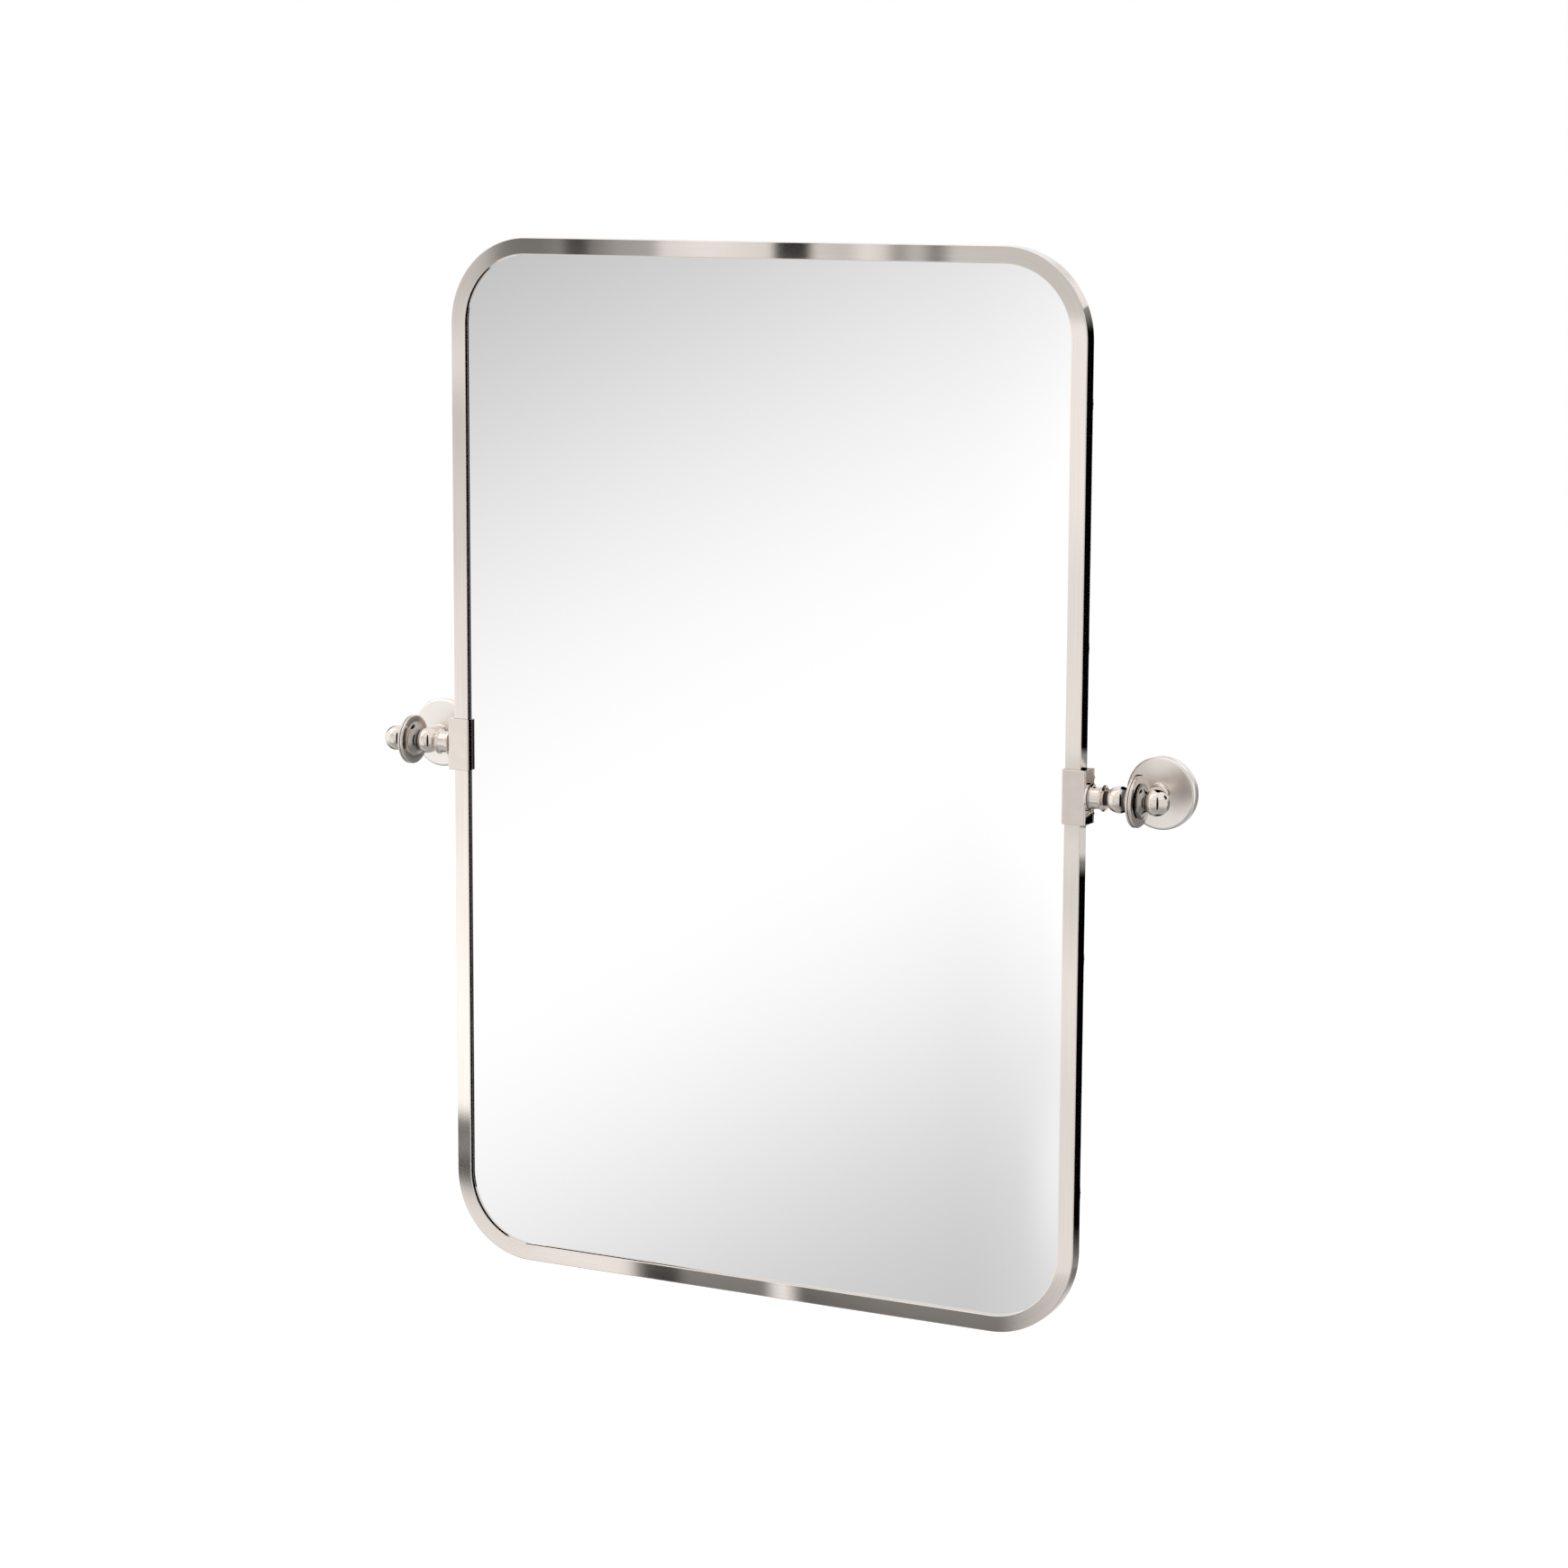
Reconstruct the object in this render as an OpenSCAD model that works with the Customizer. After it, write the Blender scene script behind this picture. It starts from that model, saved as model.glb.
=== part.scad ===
// Pivot wall mirror: a metal frame with rounded corners that tilts between two wall brackets.
// X runs along the wall, Y into the wall and Z up. The origin lies on the wall, midway between
// the brackets, at the height of the pivot.

/* [Frame] */
// Width of the frame over its outer edges
frame_w = 610; // [400:1:900]
// Height of the frame over its outer edges
frame_h = 914; // [500:1:1200]
// Outer radius of the frame's corners
corner_r = 76; // [40:1:120]
// Width of the bar as seen from the front
bar_w = 14.5; // [12:0.5:20]
// Depth of the bar from front to back
bar_depth = 14; // [13:0.5:20]
// Thickness of the front lip, which is how far the glass is recessed
lip_t = 3.5; // [2:0.5:4]
// Thickness of the outer wall behind the lip
wall_t = 6; // [5:0.5:8]
// Radius of the bar's long edges
bar_edge_r = 0.9; // [0.3:0.1:1.2]
// How far the frame's middle lies below the pivot
pivot_rise = 8; // [0:1:20]

/* [Mirror and backing] */
// Thickness of the mirror glass
glass_t = 4; // [3:0.5:5]
// Gap round the edge of the glass and of the board
pane_gap = 0.5; // [0.3:0.1:1]
// Thickness of the foam tape behind the glass
foam_t = 1.5; // [1:0.1:2]
// Width of a strip of foam tape
foam_w = 25; // [15:1:40]
// Number of strips of foam tape
foam_count = 5; // [3:1:6]
// How far the strips stop short of the top and bottom of the glass
foam_end = 90; // [60:1:120]

/* [Retaining tabs] */
// Distance of the tabs from the middle of a side bar, as a list
side_tabs = [-330, -130, 130, 330];
// Distance of the tabs from the middle of the top or bottom bar, as a list
end_tabs = [-130, 130];
// Length of a tab, from the bar towards the board's middle
tab_l = 26; // [20:1:40]
// Width of a tab
tab_w = 11; // [8:1:16]
// Thickness of a tab
tab_t = 1.2; // [0.8:0.1:2]
// Diameter of a tab screw
tab_screw_d = 2.5; // [2:0.1:3]
// Depth of a tab screw in the bar
tab_screw_l = 7; // [4:0.5:10]

/* [Wall bumpers] */
// Diameter of a bumper
bumper_d = 11; // [8:0.5:16]
// Thickness of a bumper
bumper_t = 3; // [2.5:0.1:6]
// Distance of a bumper from the frame's top or bottom edge
bumper_end = 22; // [20:1:60]
// Distance of a bumper from the frame's side edge
bumper_side = 95; // [85:1:160]

/* [Saddle clip] */
// Height of the clip along the bar
clip_h = 46; // [36:1:70]
// Thickness of the clip's outer leg
leg_t = 5.5; // [5:0.5:8]
// Thickness of the clip's front web
web_t = 2.5; // [1.5:0.1:4]
// Thickness of the clip's inner lip
hook_t = 1.8; // [1:0.1:3]
// Gap between the inner lip and the glass
hook_gap = 0.3; // [0.2:0.1:1]
// Radius of the clip's long front edges
clip_edge_r = 1.8; // [0.5:0.1:2]
// Chamfer round the outer face of the clip's back plate
clip_chamfer = 0.7; // [0.2:0.1:1]
// Thickness of the clip's back plate
clip_plate_t = 2.5; // [2:0.1:4]
// Distance of the plate's screws from the pivot
clip_screw_z = 15; // [10:0.5:16]
// Diameter of the plate's screws
clip_screw_d = 3; // [2.5:0.1:3.5]
// Depth of the plate's screws in the leg
clip_screw_l = 9; // [5:0.5:12]

/* [Pivot] */
// Distance from the pivot axis to the wall
axis_to_wall = 55; // [45:1:80]
// Diameter of the pivot stud
stud_d = 6; // [5:0.5:7]
// Length of the stud that is held in the bar's outer wall
stud_seat = 4.5; // [3:0.5:4.5]
// Distance from the clip's outer face to the middle of the disc
clip_to_disc = 43; // [40:0.5:60]
// Radial running clearance between the stud and its bores
stud_play = 0.05; // [0.02:0.01:0.1]
// Gap left between faces that turn on each other
turn_gap = 0.1; // [0.1:0.05:0.3]

/* [Boss] */
// Radius of the boss's stub
boss_r = 9.5; // [7.5:0.1:11]
// Radius of the boss's flared foot
boss_foot_r = 12; // [11:0.1:15]
// Length of the foot's straight edge
boss_foot_l = 1.8; // [1:0.1:3]
// Radius of the sharp ring at the boss's end
boss_ring_r = 11.2; // [10:0.1:14]
// Length of the ring
boss_ring_l = 4; // [2.5:0.1:5]
// Thickness of the friction washer
friction_t = 2; // [1:0.1:3]
// Outer radius of the friction washer
friction_r = 6; // [5:0.1:7]

/* [Hub and knob] */
// Radius of the disc
disc_r = 22; // [20:0.5:28]
// Thickness of the disc
disc_t = 5; // [4:0.5:8]
// Radius of the two beads along the disc's rim
bead_r = 1.25; // [0.8:0.05:1.25]
// Radius at which the cove runs out into the disc
cove_foot_r = 18; // [17:0.5:18]
// Radius of the hub's cove
cove_r = 9; // [7:0.5:10]
// Radius of the hub's ball
hub_ball_r = 11.4; // [10:0.1:13]
// Distance from the disc's middle to the middle of the hub's ball
hub_ball_x = 16; // [14:0.5:18]
// Radius of the knob's ball
knob_ball_r = 11.2; // [10:0.1:13]
// Distance from the disc's middle to the middle of the knob's ball
knob_ball_x = 16.8; // [15:0.1:20]
// Radius of the knob's foot
knob_foot_r = 15; // [14:0.5:16]
// Radius of the knob's cove
knob_cove_r = 7; // [5:0.5:8]
// How far the stud's hole goes past the middle of the knob's ball
knob_bore_past = 3; // [0:0.5:5]
// Gap between the stud's end and the end of the knob's hole
knob_bore_gap = 1; // [0.5:0.5:3]
// Thickness of the spring washer
spring_t = 0.8; // [0.5:0.1:1.2]
// Outer radius of the spring washer
spring_r = 8; // [6:0.5:10]

/* [Post] */
// Radius of the post
post_r = 6.5; // [5.5:0.1:8]
// How far the post's slotted end grips over the disc's rim
post_grip = 4; // [2:0.5:4]
// Gap between the disc's face and the sides of the post's slot
post_slot_gap = 0.3; // [0.3:0.1:0.5]
// Radius of the cove at the post's foot
post_cove_r = 3; // [2:0.5:5]
// Length of the straight edge of the post's foot
post_foot_l = 1.5; // [1:0.1:3]
// Diameter of the screw that holds the post
post_screw_d = 5; // [4:0.5:6]
// Depth of that screw in the post
post_screw_l = 12; // [8:1:14]

/* [Escutcheon and mounting plate] */
// Radius of the escutcheon at the wall
cup_r = 31; // [29:0.5:45]
// Depth of the escutcheon from the wall to its front face
cup_depth = 8.5; // [7.5:0.5:14]
// Radius of the escutcheon's rounded edge
cup_edge_r = 2.5; // [1:0.1:3]
// Thickness of the escutcheon's side wall
cup_wall = 3; // [3:0.5:5]
// Thickness of the escutcheon's front wall
cup_front = 2; // [1.5:0.1:3]
// Thickness of the mounting plate
plate_t = 3; // [2.5:0.1:4]
// Gap between the plate's rim and the escutcheon
plate_gap = 0.3; // [0.2:0.1:0.6]
// Radius of the hole in the middle of the plate
plate_eye_r = 8; // [6:0.5:10]
// Distance between the two wall screw holes of a plate
hole_spacing = 38; // [34:1:40]
// Diameter of a wall screw hole
hole_d = 5; // [4:0.1:6]
// Diameter of the set screw
set_screw_d = 3; // [2.5:0.1:3]
// Distance from the wall to the middle of the set screw
set_screw_y = 1.9; // [1.8:0.1:2.5]

/* [Fits] */
// Radial clearance of a screw in its hole
screw_play = 0.05; // [0.02:0.01:0.1]

/* [Hidden] */
$fn = 96;

// Colours
nickel = "#d9d2ca";
steel = "#b4b6b8";
glass_colour = "#e8eef0";
board_colour = "#6e5238";
black = "#26262a";
rubber = "#d8dad8";

// A cut runs this far past the face that it opens
past = 1;

// Heights across the mirror panel, from its back face (negative) to its front face
front_z = bar_depth / 2;
back_z = -bar_depth / 2;
glass_z = front_z - lip_t;
foam_z = glass_z - glass_t;
board_z = foam_z - foam_t;

// The panes fit inside the outer wall
pane_w = frame_w - 2 * (wall_t + pane_gap);
pane_h = frame_h - 2 * (wall_t + pane_gap);
pane_r = corner_r - wall_t - pane_gap;

// Distances along the pivot axis from the disc's middle
stud_hole_r = stud_d / 2 + stud_play;
hub_end = hub_ball_x + sqrt(hub_ball_r * hub_ball_r - friction_r * friction_r);
boss_end = hub_end + turn_gap + friction_t;
knob_foot = disc_t / 2 + spring_t + turn_gap;
knob_bore = knob_ball_x + knob_bore_past;
stud_end = knob_bore - knob_bore_gap;
disc_x = frame_w / 2 + leg_t + clip_to_disc;

// Screws: a head's width and height are shares of the screw's diameter
screw_head_ratio = 1.9;
screw_head_h = 0.55;
tab_screw_x = frame_w / 2 - wall_t / 2;
tab_screw_y = frame_h / 2 - wall_t / 2;
tab_edge = 0.5;
tab_corner = 1.5;
screw_tip_gap = 2;
clip_screw_x = frame_w / 2 + leg_t / 2;

// Inner radius of the escutcheon
cup_inner_r = cup_r - cup_wall;

// Shares of the ring's length at which its rim starts and ends
ring_rim_from = 0.4;
ring_rim_to = 0.6;

// The set screw lies this far inside the escutcheon's side, and its socket takes up this share of it
set_screw_recess = 0.5;
socket_share = 0.5;

// Places what is drawn flat at the mirror panel, with its front towards the room
module panel() {
    translate([0, -axis_to_wall, -pivot_rise]) rotate([90, 0, 0]) children();
}

// Places what is drawn about the right pivot, with +X away from the mirror
module at_pivot() {
    translate([disc_x, -axis_to_wall, 0]) children();
}

// Turns a half section into a solid about the pivot axis: its width is the radius
module turned() {
    rotate([0, 90, 0]) rotate_extrude() children();
}

// Places what is drawn upright at the right wall bracket, with its height away from the wall
module at_wall() {
    translate([disc_x, 0, 0]) rotate([90, 0, 0]) children();
}

// The left side is the right side mirrored
module left() {
    mirror([1, 0, 0]) children();
}

// Rectangle with round corners, drawn about its middle
module round_rect(w, h, r) {
    square([w - 2 * r, h], center = true);
    square([w, h - 2 * r], center = true);
    for (sx = [-1, 1], sy = [-1, 1]) {
        translate([sx * (w / 2 - r), sy * (h / 2 - r)]) circle(r);
    }
}

// Rectangle with cut corners, drawn from its lower left corner
module cut_rect(w, h, c) {
    polygon([[c, 0], [w - c, 0], [w, c], [w, h - c], [w - c, h], [c, h], [0, h - c], [0, c]]);
}

// What rounding takes off a corner at the origin, with the solid to its lower left
module corner_cut(r) {
    translate([-r, -r]) difference() {
        square(r + past);
        circle(r);
    }
}

// Carries a section round the frame: the section's width runs inwards from the outer edge
module around_frame() {
    for (turn = [0 : 3]) {
        half_w = (turn % 2 == 0 ? frame_w : frame_h) / 2;
        half_h = (turn % 2 == 0 ? frame_h : frame_w) / 2;
        straight = 2 * (half_h - corner_r);
        rotate([0, 0, 90 * turn]) {
            translate([half_w, straight / 2, 0]) rotate([90, 0, 0]) {
                linear_extrude(straight) mirror([1, 0]) children();
            }
            translate([half_w - corner_r, half_h - corner_r, 0]) {
                rotate_extrude(angle = 90) translate([corner_r, 0]) mirror([1, 0]) children();
            }
        }
    }
}

// Section of the bar: a front lip, and an outer wall behind it
module bar_section() {
    difference() {
        polygon([
            [0, back_z], [0, front_z], [bar_w, front_z], [bar_w, glass_z], [wall_t, glass_z],
            [wall_t, back_z]
        ]);
        translate([bar_w, front_z]) corner_cut(bar_edge_r);
        translate([0, front_z]) rotate(90) corner_cut(bar_edge_r);
        translate([0, back_z]) rotate(180) corner_cut(bar_edge_r);
    }
}

// Repeats what is drawn for the right bar at every tab, with +X pointing out of the frame
module at_tabs() {
    for (sx = [0, 180], y = side_tabs) {
        rotate([0, 0, sx]) translate([tab_screw_x, y, back_z]) children();
    }
    for (sy = [90, 270], x = end_tabs) {
        rotate([0, 0, sy]) translate([tab_screw_y, x, back_z]) children();
    }
}

// Frame: one bar, bent round the corners and welded, with the screw holes and the studs' seats
module frame() {
    color(nickel) difference() {
        panel() difference() {
            around_frame() bar_section();
            at_tabs() translate([0, 0, -past]) {
                cylinder(d = tab_screw_d + 2 * screw_play, h = tab_screw_l + past);
            }
        }
        for (side = [-1, 1]) {
            translate([side * (frame_w / 2 - stud_seat), -axis_to_wall, 0]) {
                rotate([0, side * 90, 0]) cylinder(r = stud_hole_r, h = stud_seat + past);
            }
        }
    }
}

// Silvered glass, seated behind the front lip
module mirror_glass() {
    color(glass_colour) panel() translate([0, 0, foam_z]) {
        linear_extrude(glass_t) round_rect(pane_w, pane_h, pane_r);
    }
}

// Foam strips that take up the play between glass and board
module foam_tape() {
    pitch = (pane_w - foam_w) / foam_count;
    color(black) panel() for (i = [0 : foam_count - 1]) {
        translate([(i - (foam_count - 1) / 2) * pitch - foam_w / 2, foam_end - pane_h / 2, board_z]) {
            cube([foam_w, pane_h - 2 * foam_end, foam_t]);
        }
    }
}

// Board that fills the rabbet from behind, flush with the frame's back
module backing_board() {
    color(board_colour) panel() translate([0, 0, back_z]) {
        linear_extrude(board_z - back_z) round_rect(pane_w, pane_h, pane_r);
    }
}

// Flat tabs that lie on the bar's back and reach over the board
module retaining_tabs() {
    color(steel) panel() at_tabs() translate([0, 0, -tab_t]) difference() {
        translate([wall_t / 2 - tab_edge - tab_l, -tab_w / 2, 0]) {
            linear_extrude(tab_t) cut_rect(tab_l, tab_w, tab_corner);
        }
        translate([0, 0, -past]) cylinder(d = tab_screw_d + 2 * screw_play, h = tab_t + 2 * past);
    }
}

// Round-headed screw that points up, seated on the plane z = 0
module headed_screw(d, l) {
    cylinder(d = d, h = l);
    translate([0, 0, -screw_head_h * d]) cylinder(d = screw_head_ratio * d, h = screw_head_h * d);
}

// Screws of the tabs
module tab_screws() {
    color(steel) panel() at_tabs() translate([0, 0, -tab_t]) {
        headed_screw(tab_screw_d, tab_t + tab_screw_l);
    }
}

// Soft bumpers on the board, which meet the wall at full tilt
module wall_bumpers() {
    edge_r = bumper_t / 2;
    color(rubber) panel() for (sx = [-1, 1], sy = [-1, 1]) {
        translate([sx * (frame_w / 2 - bumper_side), sy * (frame_h / 2 - bumper_end), back_z]) {
            rotate([180, 0, 0]) rotate_extrude() {
                square([bumper_d / 2, bumper_t - edge_r]);
                square([bumper_d / 2 - edge_r, bumper_t]);
                translate([bumper_d / 2 - edge_r, bumper_t - edge_r]) intersection() {
                    circle(edge_r);
                    square(edge_r);
                }
            }
        }
    }
}

// Saddle over the right bar: a front web, an inner lip and a thick outer leg
module clip() {
    outer_x = frame_w / 2 + leg_t;
    bar_out = frame_w / 2;
    bar_in = frame_w / 2 - bar_w;
    hook_in = bar_in - hook_t;
    web_z = front_z + web_t;
    hook_z = glass_z + hook_gap;
    color(nickel) difference() {
        translate([0, -axis_to_wall, clip_h / 2]) rotate([0, 180, 180]) linear_extrude(clip_h) {
            difference() {
                polygon([
                    [hook_in, hook_z], [hook_in, web_z], [outer_x, web_z], [outer_x, back_z],
                    [bar_out, back_z], [bar_out, front_z], [bar_in, front_z], [bar_in, hook_z]
                ]);
                translate([outer_x, web_z]) corner_cut(clip_edge_r);
                translate([hook_in, web_z]) rotate(90) corner_cut(clip_edge_r);
            }
        }
        translate([bar_out - past, -axis_to_wall, 0]) rotate([0, 90, 0]) {
            cylinder(r = stud_hole_r, h = leg_t + 2 * past);
        }
        clip_screw_holes(clip_screw_l);
    }
}

// Holes of the plate's screws, from behind the clip and this deep into the leg
module clip_screw_holes(depth) {
    for (side = [-1, 1]) {
        translate([clip_screw_x, past - axis_to_wall - back_z + clip_plate_t, side * clip_screw_z]) {
            rotate([90, 0, 0]) {
                cylinder(d = clip_screw_d + 2 * screw_play, h = clip_plate_t + depth + past);
            }
        }
    }
}

// Plate that closes the saddle behind the bar
module clip_plate() {
    c = clip_chamfer;
    plate_in = frame_w / 2 - bar_w + hook_t;
    plate_w = frame_w / 2 + leg_t - plate_in;
    color(nickel) difference() {
        translate([plate_in, -axis_to_wall - back_z, -clip_h / 2]) {
            linear_extrude(clip_h) polygon([
                [0, 0], [plate_w, 0], [plate_w, clip_plate_t - c],
                [plate_w - c, clip_plate_t], [c, clip_plate_t], [0, clip_plate_t - c]
            ]);
        }
        clip_screw_holes(0);
    }
}

// Screws of the plate, put in from behind
module clip_screws() {
    color(steel) for (side = [-1, 1]) {
        translate([clip_screw_x, -axis_to_wall - back_z + clip_plate_t, side * clip_screw_z]) {
            rotate([90, 0, 0]) headed_screw(clip_screw_d, clip_plate_t + clip_screw_l);
        }
    }
}

// Turned boss: a flared foot on the clip, a stub and a sharp ring at the end
module boss() {
    foot_y = -clip_to_disc;
    ring_y = -boss_end - boss_ring_l;
    color(nickel) at_pivot() turned() difference() {
        union() {
            translate([0, foot_y]) square([boss_foot_r, boss_foot_l]);
            translate([0, foot_y + boss_foot_l]) cove_section(boss_foot_r, boss_foot_r - boss_r);
            translate([0, foot_y]) square([boss_r, ring_y - foot_y]);
            translate([0, ring_y]) polygon([
                [0, 0], [boss_r, 0], [boss_ring_r, ring_rim_from * boss_ring_l],
                [boss_ring_r, ring_rim_to * boss_ring_l],
                [boss_ring_r - ring_rim_to * boss_ring_l, boss_ring_l], [0, boss_ring_l]
            ]);
        }
        bore_section(foot_y, -boss_end);
    }
}

// Section of the stud's hole between two places on the pivot axis
module bore_section(from, to) {
    translate([-past, from - past]) square([stud_hole_r + past, to - from + 2 * past]);
}

// Stud that carries the mirror: held in the bar, the clip and the boss, turning in the hub
module stud() {
    length = clip_to_disc + leg_t + stud_seat + stud_end;
    color(steel) at_pivot() translate([stud_end - length, 0, 0]) rotate([0, 90, 0]) {
        cylinder(d = stud_d, h = length);
    }
}

// Flat ring about the pivot axis, from one place to another
module ring(r, from, to) {
    at_pivot() turned() translate([stud_hole_r, from]) square([r - stud_hole_r, to - from]);
}

// Dark washer that gives the tilt its friction
module friction_washer() {
    color(black) ring(friction_r, -boss_end, -boss_end + friction_t);
}

// Section of a cove that flares out to foot_r at the plane y = 0, with its neck at y = r
module cove_section(foot_r, r) {
    difference() {
        square([foot_r, r]);
        translate([foot_r, r]) circle(r);
    }
}

// Turned hub: a ball, a cove and a disc with two beads, bored for the stud
module hub() {
    color(nickel) at_pivot() turned() difference() {
        union() {
            translate([0, -disc_t / 2]) square([disc_r - bead_r, disc_t]);
            for (side = [-1, 1]) {
                translate([disc_r - bead_r, side * (disc_t / 2 - bead_r)]) circle(bead_r);
            }
            mirror([0, 1]) translate([0, disc_t / 2]) cove_section(cove_foot_r, cove_r);
            intersection() {
                translate([0, -hub_ball_x]) circle(hub_ball_r);
                translate([0, -hub_end]) square([hub_ball_r, hub_end]);
            }
        }
        bore_section(-hub_end, disc_t / 2);
    }
}

// Thin washer that keeps the knob tight on the disc
module spring_washer() {
    color(steel) ring(spring_r, disc_t / 2, disc_t / 2 + spring_t);
}

// Round knob with a flared foot, screwed on the stud's end
module knob() {
    color(nickel) at_pivot() turned() difference() {
        union() {
            translate([0, knob_foot]) cove_section(knob_foot_r, knob_cove_r);
            intersection() {
                translate([0, knob_ball_x]) circle(knob_ball_r);
                translate([0, knob_foot]) square([knob_ball_r, knob_ball_x + knob_ball_r]);
            }
        }
        translate([-past, knob_foot - past]) {
            square([stud_hole_r + past, knob_bore - knob_foot + past]);
        }
    }
}

// Post: stands on the escutcheon, and its slotted end grips the disc's rim
module post() {
    foot_z = cup_depth;
    end_z = axis_to_wall - disc_r + post_grip;
    color(nickel) difference() {
        at_wall() rotate_extrude() difference() {
            union() {
                translate([0, foot_z]) square([post_r, end_z - foot_z]);
                translate([0, foot_z]) square([post_r + post_cove_r, post_foot_l]);
                translate([0, foot_z + post_foot_l]) {
                    cove_section(post_r + post_cove_r, post_cove_r);
                }
            }
            translate([-past, foot_z - past]) {
                square([post_screw_d / 2 + screw_play + past, post_screw_l + past]);
            }
        }
        at_pivot() rotate([0, 90, 0]) {
            cylinder(r = disc_r, h = disc_t + 2 * post_slot_gap, center = true);
        }
    }
}

// Screw that holds the post, put in from inside the escutcheon
module post_screw() {
    color(steel) at_wall() translate([0, 0, cup_depth - cup_front]) {
        headed_screw(post_screw_d, cup_front + post_screw_l - screw_tip_gap);
    }
}

// Escutcheon: a round cup with a soft front edge, open towards the wall
module escutcheon() {
    face_r = cup_r - cup_edge_r;
    color(nickel) difference() {
        at_wall() rotate_extrude() difference() {
            union() {
                square([face_r, cup_depth]);
                square([cup_r, cup_depth - cup_edge_r]);
                translate([face_r, cup_depth - cup_edge_r]) circle(cup_edge_r);
            }
            translate([-past, -past]) {
                square([cup_inner_r + past, cup_depth - cup_front + past]);
            }
            translate([-past, 0]) {
                square([post_screw_d / 2 + screw_play + past, cup_depth + past]);
            }
        }
        translate([disc_x, -set_screw_y, -cup_r - past]) {
            cylinder(d = set_screw_d + 2 * screw_play, h = cup_wall + 2 * past);
        }
    }
}

// Set screw under the escutcheon, which bears on the mounting plate's rim
module set_screw() {
    tip_r = cup_inner_r - plate_gap;
    length = cup_r - set_screw_recess - tip_r;
    color(steel) translate([disc_x, -set_screw_y, -tip_r - length]) difference() {
        cylinder(d = set_screw_d, h = length);
        translate([0, 0, -past]) {
            cylinder(d = socket_share * set_screw_d, h = socket_share * length + past, $fn = 6);
        }
    }
}

// Mounting plate, screwed to the wall through its two holes
module mounting_plate() {
    color(steel) at_wall() difference() {
        cylinder(r = cup_inner_r - plate_gap, h = plate_t);
        translate([0, 0, -past]) cylinder(r = plate_eye_r, h = plate_t + 2 * past);
        for (side = [-1, 1]) {
            translate([0, side * hole_spacing / 2, -past]) cylinder(d = hole_d, h = plate_t + 2 * past);
        }
    }
}

frame();
mirror_glass();
foam_tape();
backing_board();
retaining_tabs();
tab_screws();
wall_bumpers();
left() clip();  // left_clip
clip();  // right_clip
left() clip_plate();  // left_clip_plate
clip_plate();  // right_clip_plate
left() clip_screws();  // left_clip_screws
clip_screws();  // right_clip_screws
left() boss();  // left_boss
boss();  // right_boss
left() stud();  // left_stud
stud();  // right_stud
left() friction_washer();  // left_friction_washer
friction_washer();  // right_friction_washer
left() hub();  // left_hub
hub();  // right_hub
left() spring_washer();  // left_spring_washer
spring_washer();  // right_spring_washer
left() knob();  // left_knob
knob();  // right_knob
left() post();  // left_post
post();  // right_post
left() post_screw();  // left_post_screw
post_screw();  // right_post_screw
left() escutcheon();  // left_escutcheon
escutcheon();  // right_escutcheon
left() set_screw();  // left_set_screw
set_screw();  // right_set_screw
left() mounting_plate();  // left_mounting_plate
mounting_plate();  // right_mounting_plate
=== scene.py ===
import math

import bpy
import numpy as np
from mathutils import Matrix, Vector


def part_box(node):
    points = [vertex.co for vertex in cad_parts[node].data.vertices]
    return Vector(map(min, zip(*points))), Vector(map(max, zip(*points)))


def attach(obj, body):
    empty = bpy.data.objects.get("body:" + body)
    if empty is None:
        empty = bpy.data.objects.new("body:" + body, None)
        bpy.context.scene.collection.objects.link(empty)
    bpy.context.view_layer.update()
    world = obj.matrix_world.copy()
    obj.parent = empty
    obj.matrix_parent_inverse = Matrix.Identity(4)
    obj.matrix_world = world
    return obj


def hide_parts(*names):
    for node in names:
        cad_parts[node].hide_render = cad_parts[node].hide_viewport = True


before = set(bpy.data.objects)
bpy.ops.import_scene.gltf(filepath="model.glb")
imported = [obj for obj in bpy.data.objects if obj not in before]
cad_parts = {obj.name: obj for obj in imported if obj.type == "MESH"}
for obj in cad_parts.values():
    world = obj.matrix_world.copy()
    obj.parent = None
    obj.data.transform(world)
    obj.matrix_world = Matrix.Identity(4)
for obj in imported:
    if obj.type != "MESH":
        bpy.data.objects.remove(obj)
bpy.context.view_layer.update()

# ----------------------------------------------------------
# Frame: a rectangular bar of brass, bent round the corners, welded and plated with nickel.
# It is brushed along its length, so it mirrors sharply along the bar and smears across it.
# A front lip holds the glass, and the wall behind the lip makes the rabbet for the board.
# ----------------------------------------------------------
frame_low, frame_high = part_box("frame")
frame_w = frame_high.x - frame_low.x
frame_h = frame_high.z - frame_low.z
frame_mid_z = (frame_high.z + frame_low.z) / 2
front_y, back_y = frame_low.y, frame_high.y
corner_r = 0.076
bar_w = 0.0145
lip_t = 0.0035
wall_t = 0.006
bar_edge_r = 0.0009
inner_edge_r = 0.0002
glass_y = front_y + lip_t
corner_steps = 32
straight_step = 0.03
# Nearly all of a noise lies in this span
noise_span = (0.3, 0.7)


def linear(code):
    """Linear RGBA of an sRGB hex colour: c / 12.92 below 0.04045, else ((c + 0.055) / 1.055) to the 2.4."""
    rgb = np.array([int(code[i:i + 2], 16) / 255 for i in (1, 3, 5)])
    rgb = np.where(rgb <= 0.04045, rgb / 12.92, ((rgb + 0.055) / 1.055) ** 2.4)
    return (*rgb.tolist(), 1.0)


def set_inputs(tree, node, inputs):
    """Sets or links inputs, given by name or as a row in their order. A node is its first output."""
    for name, value in inputs.items() if isinstance(inputs, dict) else enumerate(inputs):
        value = value.outputs[0] if isinstance(value, bpy.types.Node) else value
        if isinstance(value, bpy.types.NodeSocket):
            tree.links.new(value, node.inputs[name])
        else:
            node.inputs[name].default_value = value


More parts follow.
